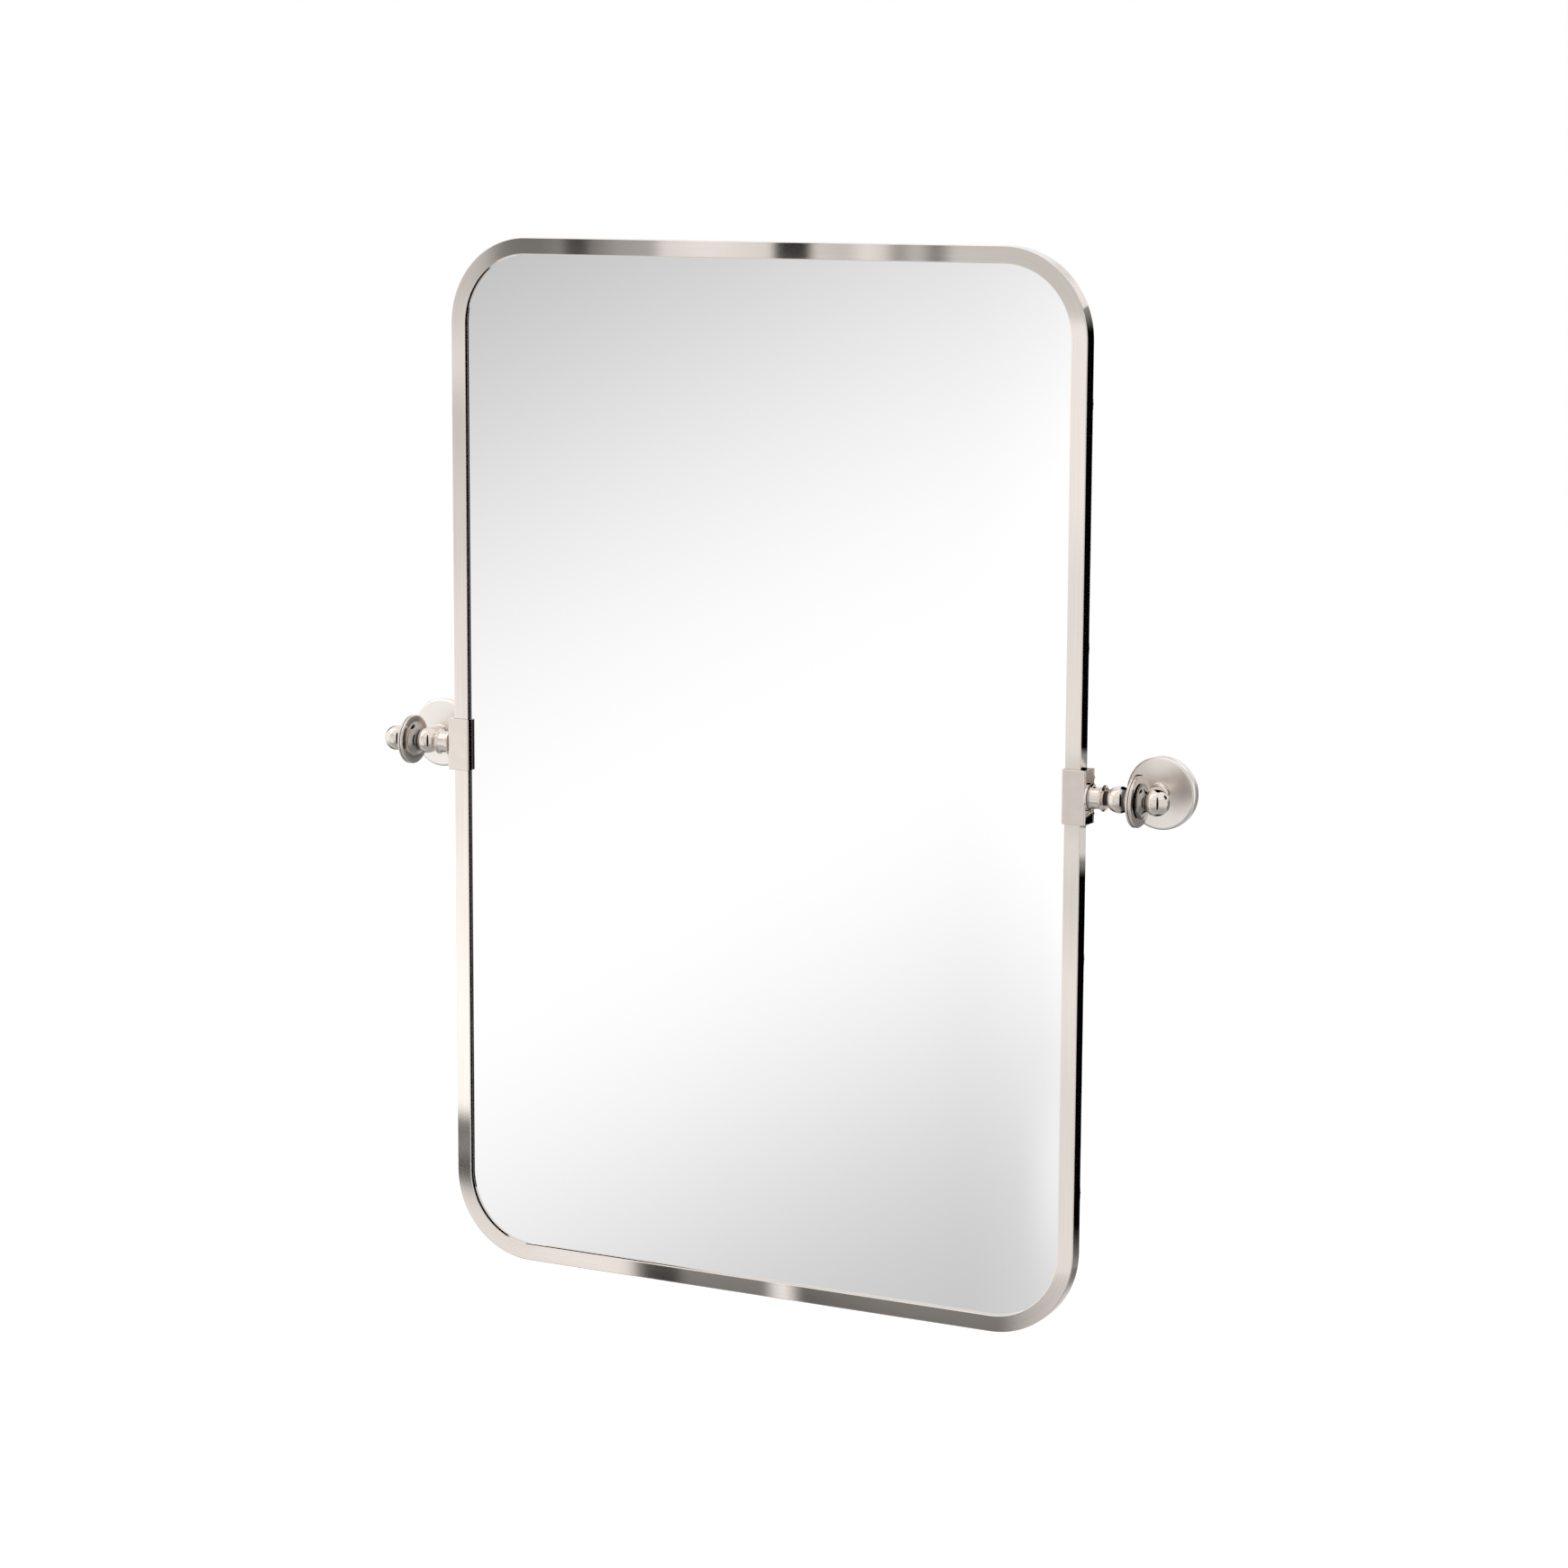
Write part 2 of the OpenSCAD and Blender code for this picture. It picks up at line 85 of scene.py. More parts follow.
def add_node(tree, kind, inputs=(), stops=(), **settings):
    """Adds one node with its settings, its inputs and, on a colour ramp, its (place, colour) stops."""
    node = tree.nodes.new("ShaderNode" + kind)
    for name, value in settings.items():
        setattr(node, name, value)
    set_inputs(tree, node, inputs)
    while stops and len(node.color_ramp.elements) < len(stops):
        node.color_ramp.elements.new(0.5)
    for index, (place, _) in enumerate(stops):
        node.color_ramp.elements[index].position = place
    for index, (_, colour) in enumerate(stops):
        node.color_ramp.elements[index].color = colour
    return node


def new_material(name):
    """An empty material with its Principled shader."""
    material = bpy.data.materials.new(name)
    material.use_nodes = True
    tree = material.node_tree
    return material, tree, tree.nodes["Principled BSDF"]


def softened(points, radius, closed=True, steps=5, least_turn=20):
    """Rounds the sharp corners of a flat outline.

    Each corner P that turns by more than least_turn degrees becomes the curve
    (1 - t)^2 A + 2 t (1 - t) P + t^2 B, where A and B lie `radius` from P on its two edges, but
    no further than `most` of an edge. Points that lie within `same` of each other are one.
    """
    most, same = 0.45, 1e-8
    points = np.asarray(points, float)
    step = np.linalg.norm(points - np.roll(points, 1, 0), axis=1)
    if not closed:
        step[0] = 1
    points, radius = points[step > same], np.broadcast_to(radius, len(points))[step > same]
    before, after = np.roll(points, 1, 0) - points, np.roll(points, -1, 0) - points
    if not closed:
        before[0], after[-1] = -after[0], -before[-1]
    len_before = np.linalg.norm(before, axis=1, keepdims=True)
    len_after = np.linalg.norm(after, axis=1, keepdims=True)
    to_before, to_after = before / len_before, after / len_after
    turn = np.degrees(np.arccos(np.clip(-(to_before * to_after).sum(1), -1, 1)))
    cut = np.where(turn > least_turn, radius, 0)[:, None]
    a = points + to_before * np.minimum(cut, most * len_before)
    b = points + to_after * np.minimum(cut, most * len_after)
    t = np.linspace(0, 1, steps + 1)[None, :, None]
    curve = (1 - t) ** 2 * a[:, None] + 2 * t * (1 - t) * points[:, None] + t ** 2 * b[:, None]
    curve = curve.reshape(-1, 2)
    step = np.linalg.norm(curve - np.roll(curve, 1, 0), axis=1)
    if not closed:
        step[0] = 1
    return curve[step > same]


def double_area(points):
    """Twice the area of a flat outline, above 0 where it runs anticlockwise: the sum of x y' - y x'."""
    after = np.roll(points, -1, 0)
    return (points[:, 0] * after[:, 1] - points[:, 1] * after[:, 0]).sum()


def outline_normals(points, closed=True):
    """Outward normals of a flat outline: each edge's normal is (dy, -dx), turned outwards by the sign
    of the enclosed area, and a corner takes the sum of its two edges' normals, longer edges more."""
    edge = np.roll(points, -1, 0) - points
    normal = np.sign(double_area(points)) * np.stack([edge[:, 1], -edge[:, 0]], 1)
    if not closed:
        normal[-1] = normal[-2]
    together = normal + np.roll(normal, 1, 0)
    if not closed:
        together[0] = normal[0]
    return together / np.linalg.norm(together, axis=1, keepdims=True)


def add_object(name, data):
    """A new object in the scene, at the origin."""
    made = bpy.data.objects.new(name, data)
    bpy.context.scene.collection.objects.link(made)
    return made


def grid_surface(name, points, normals, materials, loop_path=True, uv=None, slots=None):
    """A mesh from a grid of points: rows follow a path and columns go round a closed section.

    The path either closes on itself or ends in two flat caps. Faces point out of the solid, and
    each point keeps its own normal, so flat faces stay flat and rounded edges stay smooth.
    """
    rows, columns = points.shape[:2]
    index = np.arange(rows * columns).reshape(rows, columns)
    down, right = np.roll(index, -1, 0), np.roll(index, -1, 1)
    quads = np.stack([index, down, np.roll(down, -1, 1), right], 2)
    quads = quads if loop_path else quads[:-1]
    flat = points.reshape(-1, 3)
    q = flat[quads.reshape(-1, 4)]
    middle = flat.mean(0)
    volume = np.einsum("ij,ij->", q.mean(1) - middle, np.cross(q[:, 2] - q[:, 0], q[:, 3] - q[:, 1]))
    flip = volume < 0
    faces = quads.reshape(-1, 4)[:, ::-1 if flip else 1].tolist()
    if not loop_path:
        first, last = index[0].tolist(), index[-1].tolist()
        faces += [first if not flip else first[::-1], last[::-1] if not flip else last]
    mesh = bpy.data.meshes.new(name)
    mesh.from_pydata(flat.tolist(), [], faces)
    if uv is not None:
        across, along = uv
        j, i = np.meshgrid(np.arange(columns), np.arange(quads.shape[0]))
        corners = [(i, j), (i + 1, j), (i + 1, j + 1), (i, j + 1)]
        corners = corners[::-1] if flip else corners
        layer = np.stack([np.stack([across[c[1]], along[c[0]]], 2) for c in corners], 2)
        mesh.uv_layers.new(name="along").data.foreach_set("uv", layer.reshape(-1))
    mesh.polygons.foreach_set("use_smooth", np.ones(len(faces), bool))
    for material in materials:
        mesh.materials.append(material)
    if slots is not None:
        mesh.polygons.foreach_set("material_index", slots)
    mesh.validate()
    mesh.normals_split_custom_set_from_vertices(normals.reshape(-1, 3).tolist())
    return add_object(name, mesh)


def rounded_rectangle(width, height, radius, corner_steps, straight_step=None):
    """Points and outward normals of a rectangle with round corners, and the distance along it.

    A corner's points are centre + radius (cos a, sin a). The straights are cut into even steps.
    """
    angle = np.radians(np.linspace(0, 90, corner_steps + 1))
    points, normals = [], []
    for quarter in range(4):
        a = angle + quarter * math.pi / 2
        side_x = 1 if quarter in (0, 3) else -1
        side_z = 1 if quarter in (0, 1) else -1
        centre = np.array([side_x * (width / 2 - radius), side_z * (height / 2 - radius)])
        out = np.stack([np.cos(a), np.sin(a)], 1)
        points.append(centre + radius * out)
        normals.append(out)
        if straight_step:
            length = (height if quarter % 2 else width) - 2 * radius
            count = int(length / straight_step)
            t = np.arange(1, count)[:, None] / count
            way = np.array([-out[-1][1], out[-1][0]])
            points.append(points[-1][-1] + t * length * way)
            normals.append(np.repeat(out[-1:], count - 1, 0))
    points, normals = np.concatenate(points), np.concatenate(normals)
    along = np.concatenate([[0], np.cumsum(np.linalg.norm(np.diff(points, axis=0), axis=1))])
    return points, normals, np.append(along, along[-1] + np.linalg.norm(points[0] - points[-1]))


def frame_surface():
    """The bar's section carried round a rectangle with round corners.

    A section point (w, y) lies w inside the outer edge: place = edge - w * outward, and the
    section's normal turns with it. Its own length runs from the outer back edge to the front.
    """
    section = softened(
        [(0, back_y), (0, front_y), (bar_w, front_y), (bar_w, glass_y), (wall_t, glass_y),
         (wall_t, back_y)],
        np.array([bar_edge_r, bar_edge_r, bar_edge_r, inner_edge_r, inner_edge_r, inner_edge_r]),
    )
    section_normals = outline_normals(section)
    edge, out, along = rounded_rectangle(frame_w, frame_h, corner_r, corner_steps, straight_step)
    w, y = section[:, 0], section[:, 1]
    points = np.empty((len(edge), len(section), 3))
    points[..., 0] = edge[:, 0, None] - w * out[:, 0, None]
    points[..., 1] = y
    points[..., 2] = edge[:, 1, None] - w * out[:, 1, None] + frame_mid_z
    normals = np.empty_like(points)
    normals[..., 0] = -section_normals[:, 0] * out[:, 0, None]
    normals[..., 1] = section_normals[:, 1]
    normals[..., 2] = -section_normals[:, 0] * out[:, 1, None]
    steps = np.linalg.norm(np.roll(section, -1, 0) - section, axis=1)
    across = np.concatenate([[0], np.cumsum(steps)])
    return points, normals, (across, along)


def brushed_nickel():
    """Nickel plate brushed along the bar: fine lines, a sharp reflection along and a wide one across."""
    material, tree, shader = new_material("brushed_nickel")
    # Grit of the belt leaves lines 0.1 mm wide; they are drawn 0.5 mm wide, so that they show
    line_width, line_length = 0.0005, 0.12
    uv = add_node(tree, "UVMap", uv_map="along")
    stretched = add_node(tree, "Mapping", {
        "Vector": uv, "Scale": (1 / line_width, 1 / line_length, 1)})
    lines = add_node(tree, "TexNoise", {
        "Vector": stretched, "Scale": 1.0, "Detail": 3.0, "Roughness": 0.6})
    # The belt presses unevenly, over about 110 mm of the bar
    cloud = add_node(tree, "TexNoise", {"Vector": uv, "Scale": 9.0, "Detail": 2.0})
    tone = add_node(tree, "ValToRGB", {"Fac": lines}, stops=(
        (0, linear("#d5ccc3")), (1, linear("#f0e9e3"))))
    uneven = add_node(tree, "MapRange", [cloud, *noise_span, 0.1, 0.12])
    # The outer face, the first part of the section's own length, is ground finer than the front
    outer_face, finer = back_y - front_y, 0.57
    across = add_node(tree, "SeparateXYZ", [uv])
    coarse = add_node(tree, "MapRange", [across, outer_face - bar_edge_r, outer_face, finer, 1.0])
    rough = add_node(tree, "Math", [uneven, coarse], operation="MULTIPLY")
    bump = add_node(tree, "Bump", {"Height": lines, "Strength": 0.12, "Distance": 0.00004})
    tangent = add_node(tree, "Tangent", direction_type="UV_MAP", uv_map="along")
    set_inputs(tree, shader, {
        "Base Color": tone, "Metallic": 1.0, "Roughness": rough, "Anisotropic": 1.0,
        "Normal": bump, "Tangent": tangent})
    return material


def polished_nickel():
    """Nickel plate polished to a mirror: warm, very sharp, with the faintest swirls of the mop.

    In a turned groove or cove the colour is darkened by how much of the rest of the profile hides it:
    painted shade.
    """
    material, tree, shader = new_material("polished_nickel")
    place = add_node(tree, "TexCoord").outputs["Object"]
    # The mop leaves soft waves about 8 mm long and hairlines under 0.1 mm, drawn 0.4 mm wide
    waves = add_node(tree, "TexNoise", {"Vector": place, "Scale": 120.0})
    hairs = add_node(tree, "TexNoise", {"Vector": place, "Scale": 2500.0, "Detail": 2.0})
    tone = add_node(tree, "ValToRGB", {"Fac": waves}, stops=(
        (0, linear("#d6cdc5")), (1, linear("#e1d8d0"))))
    # Painted shade in a groove begins where the profile hides a third of the half circle above a point
    groove_from, groove_to, left_dark = 0.33, 0.47, 0.15
    sheltered = add_node(tree, "Attribute", attribute_name="sheltered").outputs["Fac"]
    # Painted shade: the colour darkens to 0.15 of itself where the rest of the profile hides a point
    painted_groove_shade = add_node(tree, "MapRange", [
        sheltered, groove_from, groove_to, 1.0, left_dark], interpolation_type="SMOOTHSTEP")
    shade = add_node(tree, "VectorMath", {0: tone, "Scale": painted_groove_shade}, operation="SCALE")
    rough = add_node(tree, "MapRange", [hairs, *noise_span, 0.04, 0.09])
    bump = add_node(tree, "Bump", {"Height": waves, "Strength": 0.1, "Distance": 0.0002})
    set_inputs(tree, shader, {
        "Base Color": shade, "Metallic": 1.0, "Roughness": rough, "Normal": bump})
    return material


nickel = polished_nickel()
points, normals, uv = frame_surface()
# The belt can't reach the inside of the lip, so that face keeps its polish
middle_w = frame_w / 2 - np.abs(points[0, :, 0] + np.roll(points[0, :, 0], -1)) / 2
middle_y = (points[0, :, 1] + np.roll(points[0, :, 1], -1)) / 2
inside_lip = (middle_w > bar_w - inner_edge_r) & (middle_y < glass_y - inner_edge_r)
inside_lip &= middle_y > front_y + bar_edge_r
frame_bar = grid_surface("frame_bar", points, normals, [brushed_nickel(), nickel], uv=uv,
                         slots=np.tile(inside_lip.astype(np.int32), len(points)))
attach(frame_bar, "mirror")
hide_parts("frame")

# ----------------------------------------------------------
# Mirror glass: 4 mm float glass with ground edges, silvered and painted grey on its back.
# It drops into the rabbet from behind and bears on the front lip.
# ----------------------------------------------------------
arris = 0.0004
edge_steps = 5


def slab(name, outline, low, high, edge, materials, normals=None, along=1, slots=None):
    """A flat plate with quarter-round edges: an outline at a row of depths from low to high.

    The depth runs along Y (along = 1) or Z (2), and the outline lies in X and the third direction.
    Near each face the outline moves in by edge (1 - cos a) while the depth moves by edge sin a.
    """
    normals = outline_normals(outline) if normals is None else normals
    a = np.radians(np.linspace(0, 90, edge_steps))
    inset = np.concatenate([edge * (1 - np.cos(a[::-1])), edge * (1 - np.cos(a))])[:, None]
    depth = np.concatenate([low + edge - edge * np.sin(a[::-1]), high - edge + edge * np.sin(a)])
    tilt = np.concatenate([-a[::-1], a])[:, None]
    points = np.empty((len(depth), len(outline), 3))
    facing = np.empty_like(points)
    points[..., [0, 3 - along]] = outline - inset[..., None] * normals
    points[..., along] = depth[:, None]
    facing[..., [0, 3 - along]] = np.cos(tilt)[..., None] * normals
    facing[..., along] = np.sin(tilt)
    return grid_surface(name, points, facing, materials, loop_path=False, slots=slots)


def silvered_front():
    """Silver behind float glass: a nearly perfect mirror, with the faintest green of the glass."""
    material, tree, shader = new_material("silvered_glass")
    place = add_node(tree, "TexCoord").outputs["Object"]
    # The silver varies a little from place to place, over about 330 mm
    cloud = add_node(tree, "TexNoise", {"Vector": place, "Scale": 3.0})
    tone = add_node(tree, "ValToRGB", {"Fac": cloud}, stops=(
        (0, linear("#f7f8f7")), (1, linear("#f9f9f9"))))
    set_inputs(tree, shader, {"Base Color": tone, "Metallic": 1.0, "Roughness": 0.0})
    return material


def glass_edge():
    """Ground edge of float glass, pale green and matt."""
    material, tree, shader = new_material("ground_glass_edge")
    place = add_node(tree, "TexCoord").outputs["Object"]
    # Grinding leaves marks about 0.5 mm long
    grind = add_node(tree, "TexNoise", {"Vector": place, "Scale": 2000.0})
    tone = add_node(tree, "ValToRGB", {"Fac": grind}, stops=(
        (0, linear("#7fa596")), (1, linear("#b4d0c4"))))
    set_inputs(tree, shader, {"Base Color": tone, "Roughness": 0.4, "IOR": 1.52})
    return material


def backing_paint():
    """Grey mirror backing paint, rolled on, with a faint orange peel."""
    material, tree, shader = new_material("mirror_backing_paint")
    place = add_node(tree, "TexCoord").outputs["Object"]
    # Orange peel of rolled paint repeats every 2 mm or so
    peel = add_node(tree, "TexNoise", {"Vector": place, "Scale": 500.0})
    tone = add_node(tree, "ValToRGB", {"Fac": peel}, stops=(
        (0, linear("#6f7477")), (1, linear("#7b8083"))))
    bump = add_node(tree, "Bump", {"Height": peel, "Strength": 0.3, "Distance": 0.0001})
    set_inputs(tree, shader, {"Base Color": tone, "Roughness": 0.45, "Normal": bump})
    return material


glass_low, glass_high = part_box("mirror_glass")
pane_gap = glass_low.x - frame_low.x - wall_t
pane_outline, pane_normals, _ = rounded_rectangle(
    glass_high.x - glass_low.x, glass_high.z - glass_low.z, corner_r - wall_t - pane_gap, corner_steps)
pane_outline[:, 1] += frame_mid_z
side_faces = len(pane_outline) * (2 * edge_steps - 1)
mirror_pane = slab(
    "mirror_pane", pane_outline, glass_low.y, glass_high.y, arris,
    [glass_edge(), silvered_front(), backing_paint()], pane_normals, slots=[0] * side_faces + [1, 2])
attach(mirror_pane, "mirror")
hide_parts("mirror_glass")

# ----------------------------------------------------------
# Foam tape: strips of closed-cell foam that take up the play between the glass and the board.
# ----------------------------------------------------------
foam_low, foam_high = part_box("foam_tape")
foam_count = 5
foam_w = 0.025
foam_edge = 0.0003


def foam():
    """Black closed-cell foam: matt, with cells of half a millimetre."""
    material, tree, shader = new_material("closed_cell_foam")
    place = add_node(tree, "TexCoord").outputs["Object"]
    cells = add_node(tree, "TexVoronoi", {"Vector": place, "Scale": 2000.0})
    tone = add_node(tree, "ValToRGB", {"Fac": cells}, stops=(
        (0, linear("#1b1b1c")), (1, linear("#323233"))))
    bump = add_node(tree, "Bump", {"Height": cells, "Strength": 0.6, "Distance": 0.0002})
    set_inputs(tree, shader, {"Base Color": tone, "Roughness": 0.9, "Normal": bump})
    return material


foam_material = foam()
first_x = foam_low.x + foam_w / 2
foam_pitch = (foam_high.x - foam_low.x - foam_w) / (foam_count - 1)
for number in range(foam_count):
    x = first_x + number * foam_pitch
    corners = [(x - foam_w / 2, foam_low.z), (x + foam_w / 2, foam_low.z),
               (x + foam_w / 2, foam_high.z), (x - foam_w / 2, foam_high.z)]
    strip = slab(f"foam_strip_{number + 1}", softened(corners, foam_edge * 2), foam_low.y,
                 foam_high.y, foam_edge, [foam_material])
    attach(strip, "mirror")
    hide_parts("foam_tape")

# ----------------------------------------------------------
# Backing board: tempered hardboard, pressed from wood fibre, smooth side out.
# It fills the rabbet flush with the frame's back.
# ----------------------------------------------------------
board_low, board_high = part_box("backing_board")
board_edge = 0.0004


def hardboard():
    """Tempered hardboard: brown, slightly waxy, with short pressed fibres and darker flecks."""
    material, tree, shader = new_material("tempered_hardboard")
    place = add_node(tree, "TexCoord").outputs["Object"]
    # Fibres are 2 to 4 mm long and lie every way, so two stretched noises cross
    fibre_ways = []
    for scale, turn in (((1400.0, 1400.0, 320.0), 0.5), ((320.0, 1400.0, 1400.0), 0.3)):
        stretched = add_node(tree, "Mapping", {
            "Vector": place, "Scale": scale, "Rotation": (0, turn, 0)})
        fibre_ways.append(add_node(tree, "TexNoise", {
            "Vector": stretched, "Scale": 1.0, "Detail": 2.0}))
    fibres = add_node(tree, "Math", fibre_ways, operation="MAXIMUM")
    # Darker and lighter patches of the pressed board are about 70 mm across
    blotch = add_node(tree, "TexNoise", {"Vector": place, "Scale": 14.0, "Detail": 4.0})
    tone = add_node(tree, "ValToRGB", {"Fac": fibres}, stops=(
        (0.4, linear("#614730")), (0.75, linear("#a37f58"))))
    patchy = add_node(tree, "MapRange", [blotch, *noise_span, 0.85, 1.1])
    shade = add_node(tree, "VectorMath", {0: tone, "Scale": patchy}, operation="SCALE")
    bump = add_node(tree, "Bump", {"Height": fibres, "Strength": 0.25, "Distance": 0.0001})
    set_inputs(tree, shader, {"Base Color": shade, "Roughness": 0.55, "Normal": bump})
    return material


# The board is cut to the glass's outline
hardboard_back = slab("hardboard_back", pane_outline, board_low.y, board_high.y, board_edge,
                      [hardboard()], pane_normals)
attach(hardboard_back, "mirror")
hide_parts("backing_board")

# ----------------------------------------------------------
# Retaining tabs and their screws: flat zinc-plated steel tabs, one screw each, that lie on the
# bar's back and reach over the board. Every screw has a pan head with a cross recess.
# ----------------------------------------------------------
tab_low, tab_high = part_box("retaining_tabs")
tab_l, tab_w, tab_corner = 0.026, 0.011, 0.0015
tab_set_in = 0.0005
tab_edge = 0.0002
side_tabs = (-0.33, -0.13, 0.13, 0.33)
end_tabs = (-0.13, 0.13)
tab_screw_d = 0.0025
# A head's width and height as shares of the screw's thickness, how far its crown falls, and how
# deep its cross goes; the cross's arm, reach and slope are shares of the head's radius
head_ratio, head_share, head_fall, cross_depth = 1.9, 0.55, 0.35, 0.6
cross_arm, cross_reach, cross_slope = 0.16, 0.62, 0.12


def zinc_plate():
    """Bright zinc on steel: bluish grey, half matt, with faint cloudy passivation."""
    material, tree, shader = new_material("zinc_plated_steel")
    place = add_node(tree, "TexCoord").outputs["Object"]
    # Crystals of the plating show as clouds about 2 mm across
    cloud = add_node(tree, "TexNoise", {"Vector": place, "Scale": 500.0, "Detail": 3.0})
    tone = add_node(tree, "ValToRGB", {"Fac": cloud}, stops=(
        (0, linear("#a9adb3")), (1, linear("#cfd3d6"))))
    rough = add_node(tree, "MapRange", [cloud, *noise_span, 0.28, 0.42])
    set_inputs(tree, shader, {"Base Color": tone, "Metallic": 1.0, "Roughness": rough})
    return material


def screw_head(name, centre, d):
    """A pan head of rings that faces the wall: height = h (1 - fall (r / R)^4), minus a cross recess.

    The recess is as deep as a share of h where |u| or |v| is under its arm's half width, within its
    reach, with sides that slope over a short way.
    """
    radius, height = head_ratio * d / 2, head_share * d
    # 23 rings cover the crown, and two more at the full radius drop down the rim to the seat
    rings = np.concatenate([np.linspace(0.02, 0.94, 22), [0.98, 1.0, 1.0]])[:, None] * radius
    drop = np.concatenate([np.zeros(23), [0.12, 1.0]])[:, None] * height
    turn = np.linspace(0, 2 * math.pi, 48, endpoint=False) + 0.6
    u, v = rings * np.cos(turn), rings * np.sin(turn)
    slope = cross_slope * radius
    cross = np.minimum(np.minimum(np.abs(u), np.abs(v)) - cross_arm * radius, 0) / -slope
    cross = np.minimum(cross, np.clip((cross_reach * radius - rings) / slope, 0, None))
    up = height * (1 - head_fall * (rings / radius) ** 4) - drop
    up = np.maximum(up - cross_depth * height * np.clip(cross, 0, 1), 0)
    points = np.stack([centre[0] + u, centre[1] + up, centre[2] - v], 2)
    along, around = np.gradient(points, axis=0), np.roll(points, -1, 1) - np.roll(points, 1, 1)
    normals = np.cross(along, around)
    normals *= np.sign(normals[5, :, 1].mean())
    normals /= np.maximum(np.linalg.norm(normals, axis=2, keepdims=True), 1e-12)
    return grid_surface(name, points, normals, [zinc], loop_path=False)


zinc = zinc_plate()
tab_screw_x = frame_w / 2 - wall_t / 2
tab_screw_z = frame_h / 2 - wall_t / 2
tab_places = [(side * tab_screw_x, side * z, side, 0) for side in (1, -1) for z in side_tabs]
tab_places += [(-side * x, side * tab_screw_z, 0, side) for side in (1, -1) for x in end_tabs]
inner_end = wall_t / 2 - tab_set_in - tab_l
outer_end = wall_t / 2 - tab_set_in
flat = softened([(inner_end, -tab_w / 2), (outer_end, -tab_w / 2), (outer_end, tab_w / 2),
                 (inner_end, tab_w / 2)], tab_corner, steps=6)
for number, (x, z, out_x, out_z) in enumerate(tab_places):
    outline = np.stack([x + flat[:, 0] * out_x - flat[:, 1] * out_z,
                        frame_mid_z + z + flat[:, 0] * out_z + flat[:, 1] * out_x], 1)
    tab = slab(f"retaining_tab_{number + 1}", outline, tab_low.y, tab_high.y, tab_edge, [zinc])
    head = screw_head(f"tab_screw_{number + 1}", (x, tab_high.y, frame_mid_z + z), tab_screw_d)
    for piece, node in ((tab, "retaining_tabs"), (head, "tab_screws")):
        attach(piece, "mirror")
        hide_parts(node)

# ----------------------------------------------------------
# Wall bumpers: soft clear domes of polyurethane, stuck to the board near the four corners.
# The lower ones meet the wall at full tilt.
# ----------------------------------------------------------
bumper_low, bumper_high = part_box("wall_bumpers")
bumper_d = 0.011
bumper_t = bumper_high.y - bumper_low.y
dome_share = 0.55
bumper_edge = 0.0004
# A turned profile stops just short of its axis, by a radius or by degrees, and a flat cap closes it
pole_r, dome_end = 0.0001, 0.4


def hidden_share(profile, normals):
    """How much of the half circle above each profile point the rest of the profile hides.

    With d the angle from the point's normal to another point, the far side of the nearest d on
    either hand is hidden: share = (90 + largest d below 0 + 90 - smallest d above 0) / 180.
    """
    apart = profile[None] - profile[:, None]
    own = np.arctan2(normals[:, 1], normals[:, 0])[:, None]
    d = (np.arctan2(apart[..., 1], apart[..., 0]) - own + math.pi) % (2 * math.pi) - math.pi
    d[np.linalg.norm(apart, axis=2) < 1e-9] = math.pi
    right_angle, least = math.pi / 2, 0.01
    before = np.where((d > -right_angle) & (d < -least), d, -right_angle).max(1) + right_angle
    after = right_angle - np.where((d < right_angle) & (d > least), d, right_angle).min(1)
    return (before + after) / math.pi


def turned(name, profile, centre, axis, materials, loop_path=False, edge=0.0, segments=96):
    """A solid of revolution: profile points (distance along the axis, radius), turned about it.

    Place = centre + distance * axis + radius (cos a * side + sin a * other). Its sharp corners are
    rounded by `edge` first, and the normals are the profile's, turned the same way. Each point
    carries its hidden share as the attribute "sheltered".
    """
    profile = softened(profile, edge, closed=loop_path) if edge else np.asarray(profile, float)
    flat = outline_normals(profile, closed=loop_path)
    if not loop_path:
        closing = np.array([[profile[-1, 0], 0], [profile[0, 0], 0]])
        whole = np.concatenate([profile, closing])
        flat *= np.sign(double_area(whole)) * np.sign(double_area(profile))
    axis = np.asarray(axis, float)
    side = np.array([0.0, 0.0, 1.0])
    other = np.cross(axis, side)
    a = np.linspace(0, 2 * math.pi, segments, endpoint=False)
    spoke = np.cos(a)[:, None] * side + np.sin(a)[:, None] * other
    points = np.asarray(centre) + profile[:, None, :1] * axis + profile[:, None, 1:] * spoke
    normals = flat[:, None, :1] * axis + flat[:, None, 1:] * spoke
    piece = grid_surface(name, points, normals, materials, loop_path=loop_path)
    sheltered = piece.data.attributes.new("sheltered", "FLOAT", "POINT")
    sheltered.data.foreach_set("value", np.repeat(hidden_share(profile, flat), segments))
    return piece


def arc(x, r, radius, start, end, steps=18):
    """Points of a circular arc in a profile: (x + radius cos a, r + radius sin a), a in degrees."""
    a = np.radians(np.linspace(start, end, steps + 1))
    return np.stack([x + radius * np.cos(a), r + radius * np.sin(a)], 1)


def clear_polyurethane():
    """Cast clear polyurethane: rubbery, water white, with a soft gloss and a breath of haze."""
    material, tree, shader = new_material("clear_polyurethane")
    place = add_node(tree, "TexCoord").outputs["Object"]
    # The haze of the cast lies in clouds of 2.5 mm
    haze = add_node(tree, "TexNoise", {"Vector": place, "Scale": 400.0})
    tone = add_node(tree, "ValToRGB", {"Fac": haze}, stops=(
        (0, linear("#dfe4e2")), (1, linear("#f2f5f4"))))
    set_inputs(tree, shader, {
        "Base Color": tone, "Roughness": 0.2, "IOR": 1.49, "Transmission Weight": 0.6})
    return material


